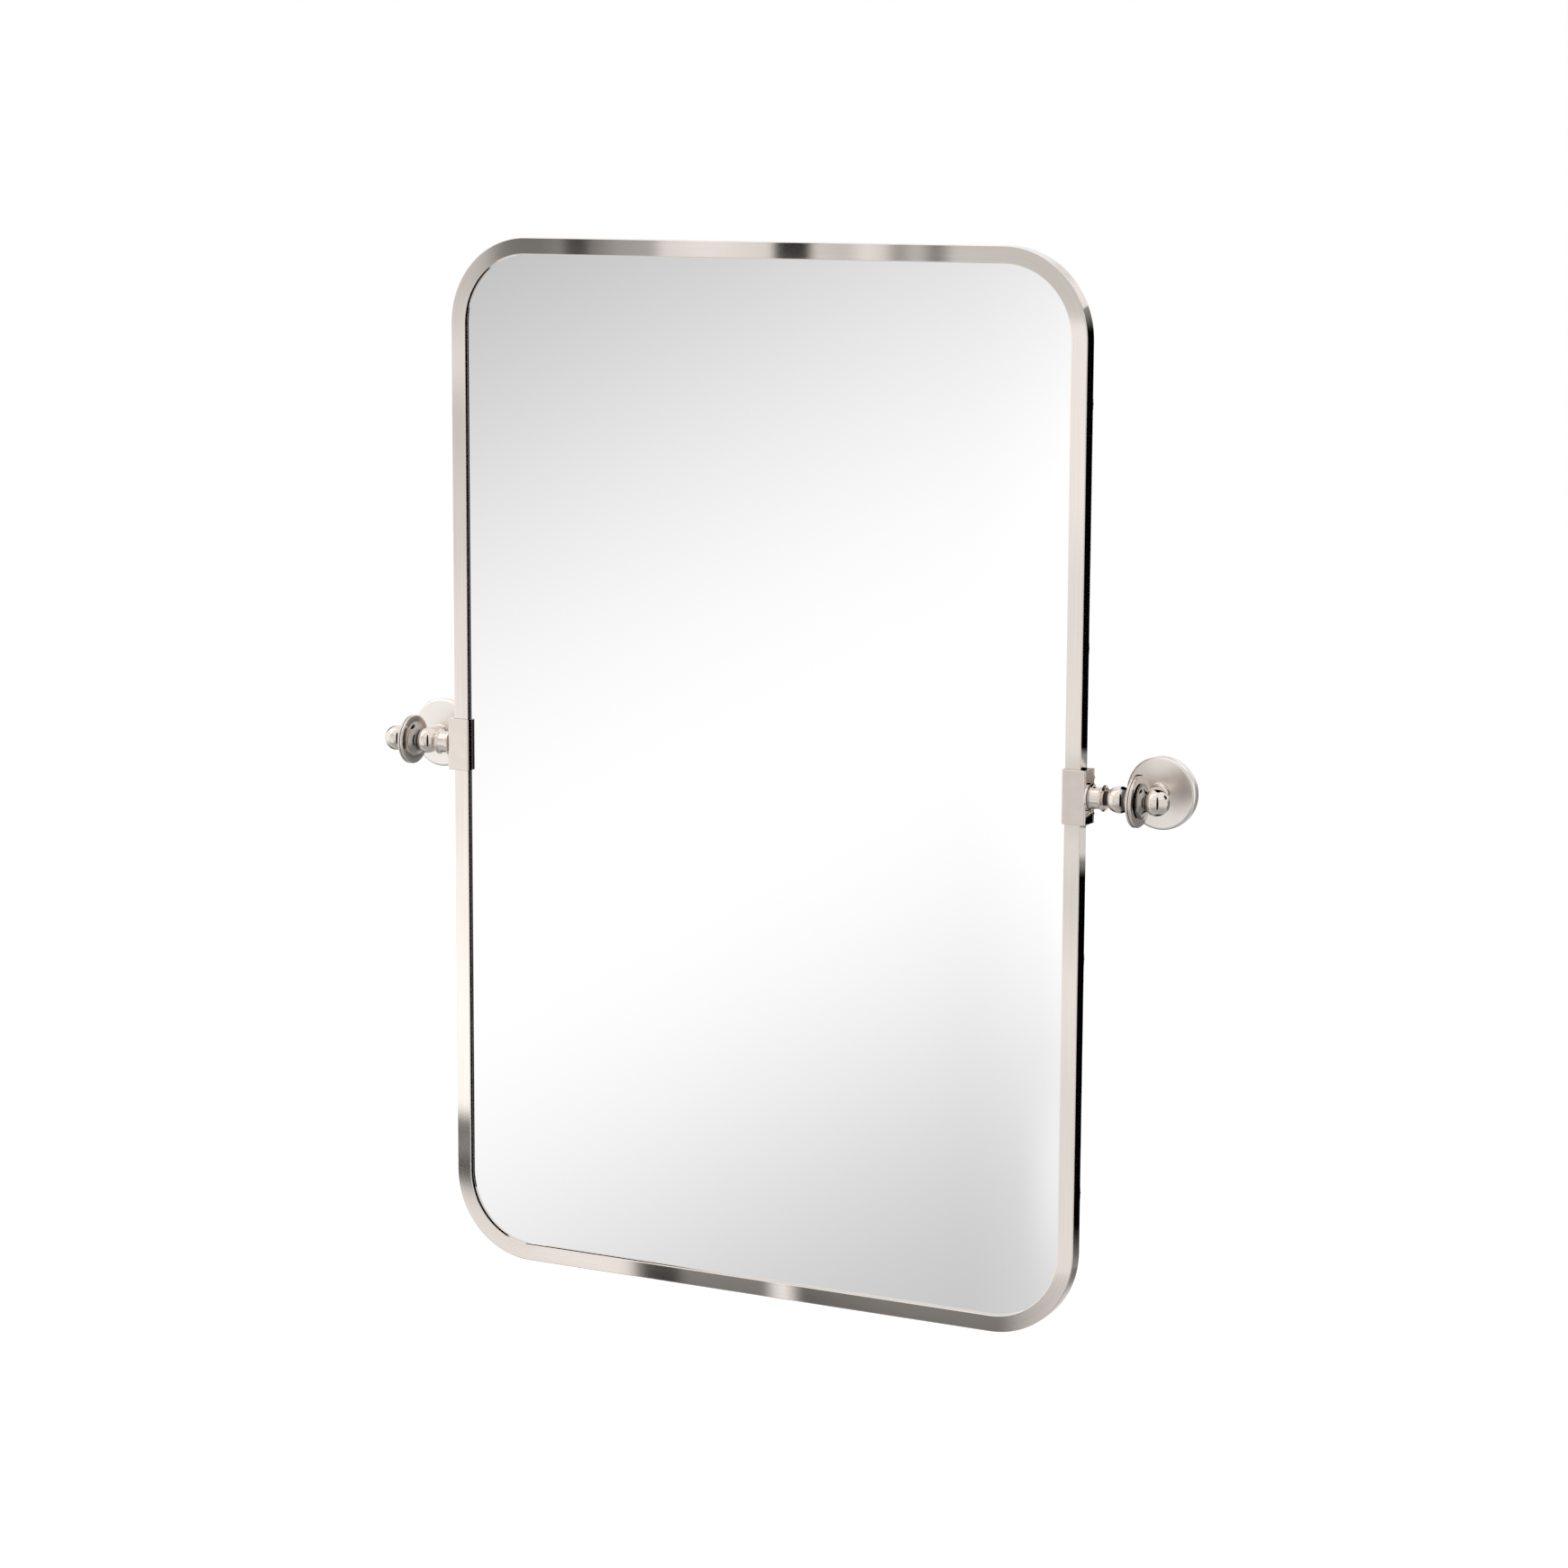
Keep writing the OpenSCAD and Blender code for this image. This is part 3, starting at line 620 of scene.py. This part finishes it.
bumper_material = clear_polyurethane()
dome_sag = bumper_t * dome_share
dome_r = ((bumper_d / 2) ** 2 + dome_sag ** 2) / (2 * dome_sag)
dome_half = math.degrees(math.asin(bumper_d / 2 / dome_r))
dome = arc(bumper_t - dome_r, 0, dome_r, dome_half, dome_end)
profile = np.concatenate([[(0, pole_r), (0, bumper_d / 2)], dome])
for number, (side_x, side_z) in enumerate(((-1, -1), (1, -1), (1, 1), (-1, 1))):
    middle_x = (bumper_high.x if side_x > 0 else bumper_low.x) - side_x * bumper_d / 2
    middle_z = (bumper_high.z if side_z > 0 else bumper_low.z) - side_z * bumper_d / 2
    bumper = turned(f"bumper_{number + 1}", profile, (middle_x, bumper_low.y, middle_z), (0, 1, 0),
                    [bumper_material], edge=bumper_edge, segments=64)
    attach(bumper, "mirror")
    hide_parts("wall_bumpers")

# ----------------------------------------------------------
# Saddle clips: machined brass, polished and plated with nickel. Each hooks over the side bar
# from the front: a web, a thin inner lip that stops short of the glass, and a thick outer leg.
# A back plate with two screws closes it.
# ----------------------------------------------------------
clip_edge_r = 0.0018
clip_end_r = 0.0006
clip_inner_r = 0.0002
hook_gap = 0.0003
plate_edge = 0.0005
clip_screw_d = 0.003
clip_screw_z = 0.015


def span(box, side):
    """Where a box begins and ends across the wall, measured outwards on its own side."""
    low, high = box
    return (low.x, high.x) if side > 0 else (-high.x, -low.x)


bar_out, bar_in = frame_w / 2, frame_w / 2 - bar_w
for hand, side in (("left", -1), ("right", 1)):
    clip_low, clip_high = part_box(f"{hand}_clip")
    plate_low, plate_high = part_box(f"{hand}_clip_plate")
    hook_x, outer_x = span((clip_low, clip_high), side)
    corners = np.array([
        (hook_x, glass_y - hook_gap), (hook_x, clip_low.y), (outer_x, clip_low.y),
        (outer_x, clip_high.y), (bar_out, clip_high.y), (bar_out, front_y), (bar_in, front_y),
        (bar_in, glass_y - hook_gap)])
    radii = np.full(len(corners), clip_inner_r)
    radii[1:3] = clip_edge_r
    section = softened(corners, radii, steps=8) * (side, 1)
    saddle = slab(f"{hand}_saddle", section, clip_low.z, clip_high.z, clip_end_r, [nickel], along=2)
    corners = np.array([
        (plate_low.x, plate_low.y), (plate_high.x, plate_low.y), (plate_high.x, plate_high.y),
        (plate_low.x, plate_high.y)])
    section = softened(corners, np.array([clip_inner_r, clip_inner_r, plate_edge, plate_edge]))
    plate = slab(f"{hand}_saddle_plate", section, plate_low.z, plate_high.z, plate_edge, [nickel],
                 along=2)
    for piece, node in ((saddle, f"{hand}_clip"), (plate, f"{hand}_clip_plate")):
        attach(piece, "mirror")
        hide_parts(node)
    screw_x = side * (bar_out + outer_x) / 2
    for end, z in (("top", clip_screw_z), ("bottom", -clip_screw_z)):
        head = screw_head(f"{hand}_saddle_screw_{end}", (screw_x, plate_high.y, z), clip_screw_d)
        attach(head, "mirror")
        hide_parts(f"{hand}_clip_screws")

# ----------------------------------------------------------
# Pivots: turned brass, polished and plated. A boss stands on each clip; a dark washer, the hub
# with its ball, cove and disc, and the round knob follow on the stud that carries the mirror.
# ----------------------------------------------------------
axis_y = (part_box("left_stud")[0].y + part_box("left_stud")[1].y) / 2
bore_r = 0.00305
boss_r, boss_foot_r, boss_foot_l = 0.0095, 0.012, 0.0018
ring_r, ring_l = 0.0112, 0.004
# Shares of the ring's length: where its flat top begins and ends, and how far its end slopes in
ring_from, ring_to, ring_drop = 0.4, 0.6, 0.6
disc_r, disc_t, bead_r = 0.022, 0.005, 0.00125
cove_foot_r, cove_r = 0.018, 0.009
hub_ball_r, hub_ball_x = 0.0114, 0.016
knob_ball_r, knob_ball_x = 0.0112, 0.0168
knob_foot_r, knob_cove_r, knob_end = 0.015, 0.007, 0.3
turned_edge = 0.00025


def black_nylon():
    """Moulded nylon, black and satin, with a fine moulded grain."""
    material, tree, shader = new_material("moulded_nylon")
    place = add_node(tree, "TexCoord").outputs["Object"]
    # The mould's eroded face gives a grain of about 0.3 mm
    grain = add_node(tree, "TexNoise", {"Vector": place, "Scale": 3000.0})
    tone = add_node(tree, "ValToRGB", {"Fac": grain}, stops=(
        (0, linear("#131315")), (1, linear("#232326"))))
    bump = add_node(tree, "Bump", {"Height": grain, "Strength": 0.2, "Distance": 0.00005})
    set_inputs(tree, shader, {"Base Color": tone, "Roughness": 0.45, "Normal": bump})
    return material


def meeting(centre_a, radius_a, centre_b, radius_b, side):
    """Where two circles cross, on the left (side = 1) or right (-1) of the way from a to b."""
    a, b = np.asarray(centre_a, float), np.asarray(centre_b, float)
    apart = np.linalg.norm(b - a)
    along = (apart ** 2 + radius_a ** 2 - radius_b ** 2) / (2 * apart)
    way = (b - a) / apart
    return a + along * way + side * math.sqrt(radius_a ** 2 - along ** 2) * np.array([-way[1], way[0]])


nylon = black_nylon()
for hand, side in (("left", -1), ("right", 1)):
    outward = (side, 0, 0)
    disc_x = span(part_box(f"{hand}_hub"), side)[1] - disc_t / 2
    centre = (side * disc_x, axis_y, 0)
    foot, boss_end = np.subtract(span(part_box(f"{hand}_boss"), side), disc_x)
    flare = boss_foot_r - boss_r
    ring = boss_end - ring_l
    boss_profile = np.concatenate([
        [(foot, bore_r), (foot, boss_foot_r), (foot + boss_foot_l, boss_foot_r)],
        arc(foot + boss_foot_l + flare, boss_foot_r, flare, 180, 270)[1:],
        [(ring, boss_r), (ring + ring_from * ring_l, ring_r), (ring + ring_to * ring_l, ring_r),
         (boss_end, ring_r - ring_drop * ring_l), (boss_end, bore_r)]])
    boss = turned(f"{hand}_pivot_boss", boss_profile, centre, outward, [nickel],
                  loop_path=True, edge=turned_edge)
    washer_low, washer_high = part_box(f"{hand}_friction_washer")
    washer_from, washer_to = np.subtract(span((washer_low, washer_high), side), disc_x)
    washer_r = (washer_high.z - washer_low.z) / 2
    washer = turned(f"{hand}_nylon_washer", [
        (washer_from, bore_r), (washer_from, washer_r), (washer_to, washer_r), (washer_to, bore_r)],
        centre, outward, [nylon], loop_path=True, edge=turned_edge)
    neck_drop = disc_t / 2 + cove_r
    junction = meeting((-hub_ball_x, 0), hub_ball_r, (-neck_drop, cove_foot_r), cove_r, -1)
    cove_end = 360 - math.degrees(math.acos((junction[0] + neck_drop) / cove_r))
    ball_start = math.degrees(math.atan2(junction[1], junction[0] + hub_ball_x))
    half_mouth = math.degrees(math.asin(washer_r / hub_ball_r))
    cove = arc(-neck_drop, cove_foot_r, cove_r, 360, cove_end)
    ball = arc(-hub_ball_x, 0, hub_ball_r, ball_start, 180 - half_mouth, steps=48)
    bead_x = disc_t / 2 - bead_r
    bead = disc_r - bead_r
    hub_profile = np.concatenate([
        [(disc_t / 2, bore_r)],
        arc(bead_x, bead, bead_r, 0, 180, steps=12),
        arc(-bead_x, bead, bead_r, 0, 180, steps=12),
        [(-disc_t / 2, cove_foot_r)], cove[1:], ball, [(ball[-1, 0], bore_r)]])
    hub = turned(f"{hand}_pivot_hub", hub_profile, centre, outward, [nickel],
                 loop_path=True, edge=turned_edge, segments=128)
    knob_foot = span(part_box(f"{hand}_knob"), side)[0] - disc_x
    cove_centre = (knob_foot + knob_cove_r, knob_foot_r)
    junction = meeting((knob_ball_x, 0), knob_ball_r, cove_centre, knob_cove_r, 1)
    cove_end = 180 + math.degrees(math.acos((cove_centre[0] - junction[0]) / knob_cove_r))
    ball_start = math.degrees(math.atan2(junction[1], junction[0] - knob_ball_x))
    knob_cove = arc(*cove_centre, knob_cove_r, 180, cove_end)
    knob_ball = arc(knob_ball_x, 0, knob_ball_r, ball_start, knob_end, steps=48)
    knob_profile = np.concatenate([[(knob_foot, pole_r)], knob_cove, knob_ball])
    knob = turned(f"{hand}_round_knob", knob_profile, centre, outward, [nickel],
                  edge=turned_edge, segments=128)
    for piece, body, node, slot in (
            (boss, "mirror", "boss", "polished_nickel"),
            (washer, "mirror", "friction_washer", "black_nylon"),
            (hub, "wall_brackets", "hub", "polished_nickel"),
            (knob, f"knob_{hand}", "knob", "polished_nickel")):
        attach(piece, body)
        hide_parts(f"{hand}_{node}")

# ----------------------------------------------------------
# Wall side: the post that grips the disc, the round escutcheon that covers the steel mounting
# plate, the screws that hold them, and the studs and spring washers inside the pivots.
# ----------------------------------------------------------
cup_edge_r, cup_wall, cup_front = 0.0025, 0.003, 0.002
post_screw_r = 0.00255


def satin_nickel():
    """Nickel plate over a lapped face: warm and soft, so that what is near it only shades it."""
    material, tree, shader = new_material("satin_nickel")
    place = add_node(tree, "TexCoord").outputs["Object"]
    # Lapping leaves a grain of about 0.2 mm, drawn 0.4 mm wide
    grain = add_node(tree, "TexNoise", {"Vector": place, "Scale": 2500.0, "Detail": 2.0})
    tone = add_node(tree, "ValToRGB", {"Fac": grain}, stops=(
        (0, linear("#eee8e2")), (1, linear("#f1ebe5"))))
    rough = add_node(tree, "MapRange", [grain, *noise_span, 0.29, 0.31])
    set_inputs(tree, shader, {"Base Color": tone, "Metallic": 1.0, "Roughness": rough})
    return material


satin = satin_nickel()

for hand, side in (("left", -1), ("right", 1)):
    cup_low, cup_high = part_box(f"{hand}_escutcheon")
    cup_r = (cup_high.x - cup_low.x) / 2
    depth = cup_high.y - cup_low.y
    centre = ((cup_low.x + cup_high.x) / 2, cup_high.y, 0)
    profile = np.concatenate([
        [(0, cup_r - cup_wall), (0, cup_r)],
        arc(depth - cup_edge_r, cup_r - cup_edge_r, cup_edge_r, 90, 0),
        [(depth, post_screw_r), (depth - cup_front, post_screw_r),
         (depth - cup_front, cup_r - cup_wall)]])
    cup = turned(f"{hand}_wall_cup", profile, centre, (0, -1, 0), [satin],
                 loop_path=True, edge=turned_edge, segments=160)
    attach(cup, "wall_brackets")
    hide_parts(f"{hand}_escutcheon")
    for node, material in (("post", nickel), ("post_screw", zinc), ("set_screw", zinc),
                           ("mounting_plate", zinc), ("stud", zinc), ("spring_washer", zinc)):
        for material_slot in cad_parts[f"{hand}_{node}"].material_slots:
            material_slot.material = material

# ----------------------------------------------------------
# Camera: at the photograph's angle, 3.5 m away, with a long lens.
# ----------------------------------------------------------
view_azimuth, view_elevation, view_roll = math.radians(28.13), math.radians(8.93), math.radians(0.27)
view_distance = 3.473
view_target = np.array([0.0251, -0.055, -0.0114])
focal_px, image_px, sensor = 4500, 1740, 36.0

back = np.array([math.sin(view_azimuth) * math.cos(view_elevation),
                 -math.cos(view_azimuth) * math.cos(view_elevation), math.sin(view_elevation)])
level = np.array([math.cos(view_azimuth), math.sin(view_azimuth), 0])
upward = np.cross(back, level)
right = math.cos(view_roll) * level + math.sin(view_roll) * upward
above = -math.sin(view_roll) * level + math.cos(view_roll) * upward
camera = add_object("camera", bpy.data.cameras.new("camera"))
camera.data.sensor_width = sensor
camera.data.lens = sensor * focal_px / image_px
placed = np.eye(4)
placed[:3, 0], placed[:3, 1], placed[:3, 2] = right, above, back
placed[:3, 3] = view_target + view_distance * back
camera.matrix_world = Matrix(placed)
bpy.context.scene.camera = camera

# ----------------------------------------------------------
# Room: a white sweep, seen as plain white, with soft even light from above and in front.
# Bright metal needs something to mirror, so the white tent has dark gaps, and striped boards
# that metal alone can see stand in front of the bars and beside the right one.
# ----------------------------------------------------------
floor_z, floor_size = -1.5, 30.0
floor_colour, floor_glow = "#e6e6e6", 0.36
sun_strength, sun_angle = 1.0, math.radians(25)
sun_turn = (math.radians(40), math.radians(-12), math.radians(-20))
room_light = 0.75
smooth = {"interpolation_type": "SMOOTHSTEP"}


def window(tree, value, low, high, soft):
    """1 between low and high and 0 outside, with edges that are `soft` wide on each side."""
    rise = add_node(tree, "MapRange", [value, low - soft, low + soft], **smooth)
    fall = add_node(tree, "MapRange", [value, high - soft, high + soft, 1.0, 0.0], **smooth)
    return add_node(tree, "Math", [rise, fall], operation="MULTIPLY")


world = bpy.data.worlds.new("white_tent")
bpy.context.scene.world = world
world.use_nodes = True
world.cycles.sampling_method = "NONE"
tree = world.node_tree
path = add_node(tree, "LightPath")
deep = add_node(tree, "Math", [path.outputs["Glossy Depth"], 1.5], operation="GREATER_THAN")

# Where a ray goes: azimuth is the angle whose tangent is x / -y, and elevation the arcsine of z
way = add_node(tree, "TexCoord").outputs["Generated"]
split = add_node(tree, "SeparateXYZ", [way])
forward = add_node(tree, "Math", [split.outputs["Y"], -1.0], operation="MULTIPLY")
azimuth = add_node(tree, "Math", [split, forward], operation="ARCTAN2")
azimuth = add_node(tree, "Math", [azimuth], operation="DEGREES")
elevation = add_node(tree, "Math", [split.outputs["Z"]], operation="ARCSINE")
elevation = add_node(tree, "Math", [elevation], operation="DEGREES")

# What polished and brushed metal mirrors: a tent, brighter above and to the left, darker below.
# Below and above: (elevation from, to, brightness from, to)
tent_below, tent_above = (-45, -8, 0.5, 0.97), (8, 35, 0.0, 0.18)
left_from, left_to, left_soft, left_gain = -105, -42, 6.0, 0.3
below = add_node(tree, "MapRange", [elevation, *tent_below], **smooth)
over = add_node(tree, "MapRange", [elevation, *tent_above], **smooth)
tent = add_node(tree, "Math", [below, over], operation="ADD")
left_side = window(tree, azimuth, left_from, left_to, left_soft)
left_glow = add_node(tree, "Math", [left_side, left_gain, 1.0], operation="MULTIPLY_ADD")
tent = add_node(tree, "Math", [tent, left_glow], operation="MULTIPLY")
# Gaps and stands in it: (azimuth from, to, elevation from, to, softness, darkness, kept).
# A gap that is seen by way of a second piece keeps only that share of its darkness, as the
# pieces near it fill it with light, but the left lip is as dark in the glass as outside it.
dark_gaps = (
    (19, 37, -50, 55, 2.0, 0.97, 0.0),
    (28, 37, -19, 3, 1.0, 0.97, 1.0),
    (110, 142, 20, 44, 2.0, 0.97, 0.2),
    (125, 175, -32, 8, 8.0, 0.72, 0.0),
    (-140, -112, 6, 30, 3.0, 0.9, 0.2),
    (-140, -108, -50, -22, 3.0, 0.9, 0.2),
    (-180, 180, 24, 29, 2.0, 0.35, 0.2),
)
for from_az, to_az, from_el, to_el, soft, darkness, kept in dark_gaps:
    dark = add_node(tree, "Math", [
        window(tree, azimuth, from_az, to_az, soft), window(tree, elevation, from_el, to_el, soft)],
        operation="MULTIPLY")
    share = add_node(tree, "Math", [deep, kept - 1, 1.0], operation="MULTIPLY_ADD")
    dark = add_node(tree, "Math", [dark, share], operation="MULTIPLY")
    light = add_node(tree, "Math", [dark, -darkness, 1.0], operation="MULTIPLY_ADD")
    tent = add_node(tree, "Math", [tent, light], operation="MULTIPLY")

# What the glass mirrors: white, falling to grey towards the upper left and the lower right, along
# slope = azimuth / 2 - elevation. Above and below: (slope from, to, grey from, to)
grey_above, grey_below = (-18.25, -5.97, 0.58, 0.0), (-4.22, 4.31, 0.0, 0.425)
sweep_gain = 1.06
slope = add_node(tree, "Math", [azimuth, 0.5], operation="MULTIPLY")
slope = add_node(tree, "Math", [slope, elevation], operation="SUBTRACT")
upper = add_node(tree, "MapRange", [slope, *grey_above], **smooth)
lower = add_node(tree, "MapRange", [slope, *grey_below], **smooth)
grey = add_node(tree, "Math", [upper, lower], operation="ADD")
white = add_node(tree, "Math", [1.0, grey], operation="SUBTRACT")
# Near the right edge it is lighter again, most of all low down. Edges: (azimuth from, to, lift
# from, to); fade: (elevation from, to, share from, to)
edge_lifts, edge_fade = ((-25.6, -24.0, 0.0, 0.09), (-24.5, -23.5, 0.0, 0.12)), (-12.5, -4, 1.0, 0.3)
low_lift, low_part = (-24.75, -24.2, 0.0, 0.1), (-15.6, -13.5, 1.0)
lift = add_node(tree, "Math", [
    add_node(tree, "MapRange", [azimuth, *row], **smooth) for row in edge_lifts],
    operation="ADD")
fade = add_node(tree, "MapRange", [elevation, *edge_fade], **smooth)
lift = add_node(tree, "Math", [lift, fade], operation="MULTIPLY")
low_right = add_node(tree, "MapRange", [azimuth, *low_lift], **smooth)
low_right = add_node(tree, "Math", [
    low_right, window(tree, elevation, *low_part)], operation="MULTIPLY")
lift = add_node(tree, "Math", [lift, low_right], operation="ADD")
sweep = add_node(tree, "Math", [lift, white], operation="ADD")
sweep = add_node(tree, "Math", [sweep_gain, sweep], operation="MULTIPLY")
# A ray that meets the frame's inside before the glass comes out to a dark studio, but for a white
# opening on its left with a dark part in it: (from, to, softness)
opening, shut_azimuth, shut_elevation = (-110, -12, 1.0), (-45, -29.6, 0.3), (6, 40, 1.0)
shut = add_node(tree, "Math", [
    window(tree, azimuth, *shut_azimuth), window(tree, elevation, *shut_elevation)],
    operation="MULTIPLY")
open_part = add_node(tree, "Math", [1.0, shut], operation="SUBTRACT")
doorway = add_node(tree, "Math", [
    window(tree, azimuth, *opening), open_part], operation="MULTIPLY")
# Which of these a ray gets: a Mix of floats takes its share at 0 and its two values at 2 and 3
by_glass = add_node(tree, "Mix", {0: deep, 2: sweep, 3: doorway}, data_type="FLOAT")
by_shine = add_node(tree, "Mix", {
    0: path.outputs["Is Singular Ray"], 2: tent, 3: by_glass}, data_type="FLOAT")
not_camera = add_node(tree, "Mix", {
    0: path.outputs["Is Glossy Ray"], 2: room_light, 3: by_shine}, data_type="FLOAT")
strength = add_node(tree, "Mix", {
    0: path.outputs["Is Camera Ray"], 2: not_camera, 3: 1.0}, data_type="FLOAT")
set_inputs(tree, tree.nodes["Background"], {"Color": (1, 1, 1, 1), "Strength": strength})


def panel(name, corners):
    """One flat face with four corners."""
    mesh = bpy.data.meshes.new(name)
    mesh.from_pydata(corners, [], [(0, 1, 2, 3)])
    return add_object(name, mesh)


half = floor_size / 2
floor = panel("floor", [(-half, -half, floor_z), (half, -half, floor_z), (half, half, floor_z),
                        (-half, half, floor_z)])
floor.visible_glossy = False
material, tree, shader = new_material("pale_floor")
set_inputs(tree, shader, {
    "Base Color": linear(floor_colour), "Roughness": 1.0, "Specular IOR Level": 0.0})
seen = add_node(tree, "LightPath").outputs["Is Camera Ray"]
glow = add_node(tree, "Emission", {
    "Strength": add_node(tree, "Math", [seen, floor_glow], operation="MULTIPLY")})
total = add_node(tree, "AddShader", [shader, glow])
set_inputs(tree, tree.nodes["Material Output"], {"Surface": total})
floor.data.materials.append(material)

sun = add_object("sun", bpy.data.lights.new("sun", "SUN"))
sun.data.energy = sun_strength
sun.data.angle = sun_angle
sun.rotation_euler = sun_turn
sun.visible_glossy = False


def striped_board(name, x_range, z_range, y, along, stripes, nearest, farthest):
    """A board that glows in stripes (place along X (0) or Z (2), brightness), for metal alone to see.

    Between two stripes the glow eases from one brightness to the other.
    """
    (x_from, x_to), (z_from, z_to) = x_range, z_range
    board = panel(name, [(x_from, y, z_from), (x_to, y, z_from), (x_to, y, z_to), (x_from, y, z_to)])
    board.visible_camera = board.visible_diffuse = board.visible_shadow = False
    board.visible_transmission = board.visible_volume_scatter = False
    material, tree, shader = new_material(name)
    material.cycles.emission_sampling = "NONE"
    tree.nodes.remove(shader)
    place = add_node(tree, "TexCoord").outputs["Object"]
    split = add_node(tree, "SeparateXYZ", [place])
    low, high = min(stripes)[0], max(stripes)[0]
    share = add_node(tree, "MapRange", [split.outputs[along], low, high])
    ramp = add_node(tree, "ValToRGB", {"Fac": share}, stops=sorted(
        ((place - low) / (high - low), (bright, bright, bright, 1)) for place, bright in stripes))
    ramp.color_ramp.interpolation = "EASE"
    glow = add_node(tree, "Emission", {"Color": ramp})
    clear = add_node(tree, "BsdfTransparent")
    seen = add_node(tree, "LightPath").outputs
    # Metal is never quite sharp, as the glass is, and only the bar in front of a board is this near
    blurred = add_node(tree, "Math", [1.0, seen["Is Singular Ray"]], operation="SUBTRACT")
    inside = add_node(tree, "Math", [seen["Ray Length"], farthest], operation="LESS_THAN")
    beyond = add_node(tree, "Math", [seen["Ray Length"], nearest], operation="GREATER_THAN")
    metal = seen["Is Glossy Ray"]
    for part in (blurred, inside, beyond):
        metal = add_node(tree, "Math", [metal, part], operation="MULTIPLY")
    mixed = add_node(tree, "MixShader", [metal, clear, glow])
    set_inputs(tree, tree.nodes["Material Output"], {"Surface": mixed})
    board.data.materials.append(material)


# Stripes of the boards in front, where they show: (place along the bar in metres, brightness)
above_stripes = (
    (-0.30, 0.75), (-0.27, 0.7), (-0.258, 0.2), (-0.214, 0.19), (-0.194, 0.24), (-0.182, 0.04),
    (-0.171, 0.04), (-0.158, 0.25), (-0.13, 0.42), (-0.104, 0.47), (-0.088, 0.92), (-0.05, 1.02),
    (0.012, 0.9), (0.021, 0.0), (0.046, 0.0), (0.057, 0.8), (0.082, 0.7), (0.105, 0.97),
    (0.116, 0.88), (0.133, 0.4), (0.150, 0.61), (0.168, 0.25), (0.187, 0.72), (0.25, 0.7))
below_stripes = (
    (-0.30, 1.02), (-0.138, 1.07), (-0.126, 0.95), (-0.112, 0.1), (-0.105, 0.0), (-0.08, 0.0),
    (-0.066, 0.22), (0.002, 0.22), (0.012, 0.22), (0.022, 0.95), (0.032, 1.15), (0.040, 0.6),
    (0.048, 0.06), (0.06, 0.12), (0.10, 0.16), (0.16, 0.2), (0.235, 0.2), (0.27, 0.6), (0.30, 0.8))
left_stripes = (
    (0.40, 0.75), (0.34, 0.92), (0.29, 0.74), (0.20, 0.83), (0.10, 1.0), (-0.04, 1.12), (-0.13, 1.27),
    (-0.25, 1.4), (-0.328, 1.35), (-0.348, 0.13), (-0.368, 0.2), (-0.386, 0.04), (-0.40, 0.2),
    (-0.415, 1.0))
right_stripes = (
    (0.40, 1.1), (0.25, 1.1), (0.17, 0.98), (0.08, 1.0), (0.04, 0.98), (0.025, 0.84), (-0.025, 0.84),
    (-0.04, 0.93), (-0.08, 0.88), (-0.165, 1.04), (-0.26, 0.95), (-0.40, 0.98))
board_distance = 0.35
front_nearest, front_farthest = 0.3, 0.47
# The camera's line of sight, mirrored at p on a bar's front, meets the board at p + reach (p - eye)
eye = placed[:3, 3]
reach = board_distance / (front_y - eye[1])
for name, x_range, z_range, along, stripes in (
        ("above", (-0.62, 0.28), (0.375, 0.62), 0, above_stripes),
        ("below", (-0.62, 0.28), (-0.8, -0.515), 0, below_stripes),
        ("left", (-0.63, -0.43), (-0.515, 0.375), 2, left_stripes),
        ("right", (0.05, 0.24), (-0.515, 0.375), 2, right_stripes)):
    stripes = [(place + reach * (place - eye[along]), bright) for place, bright in stripes]
    striped_board(f"board_{name}", x_range, z_range, front_y - board_distance, along, stripes,
                  front_nearest, front_farthest)

# Beside the right bar the studio is dark, but not near the bracket. A stripe stands lower than
# the place on the bar where it shows, because the camera looks down on it
side_top_stripes = ((0.44, 0.3), (0.40, 0.0), (0.044, 0.0), (0.036, 0.3))
side_bottom_stripes = ((-0.008, 0.3), (-0.012, 0.0), (-0.023, 0.0), (-0.026, 0.8), (-0.046, 0.8),
                       (-0.056, 0.25), (-0.068, 0.0), (-0.37, 0.0), (-0.42, 0.3))
side_y, side_x_range, side_drop = 0.03, (0.31, 0.385), 0.0165
side_nearest, side_farthest = 0.07, 0.3
for name, stripes in (("top", side_top_stripes), ("bottom", side_bottom_stripes)):
    stripes = [(place - side_drop, bright) for place, bright in stripes]
    striped_board(f"board_beside_{name}", side_x_range, (min(stripes)[0], max(stripes)[0]), side_y, 2,
                  stripes, side_nearest, side_farthest)

bpy.context.scene.view_settings.view_transform = "Standard"
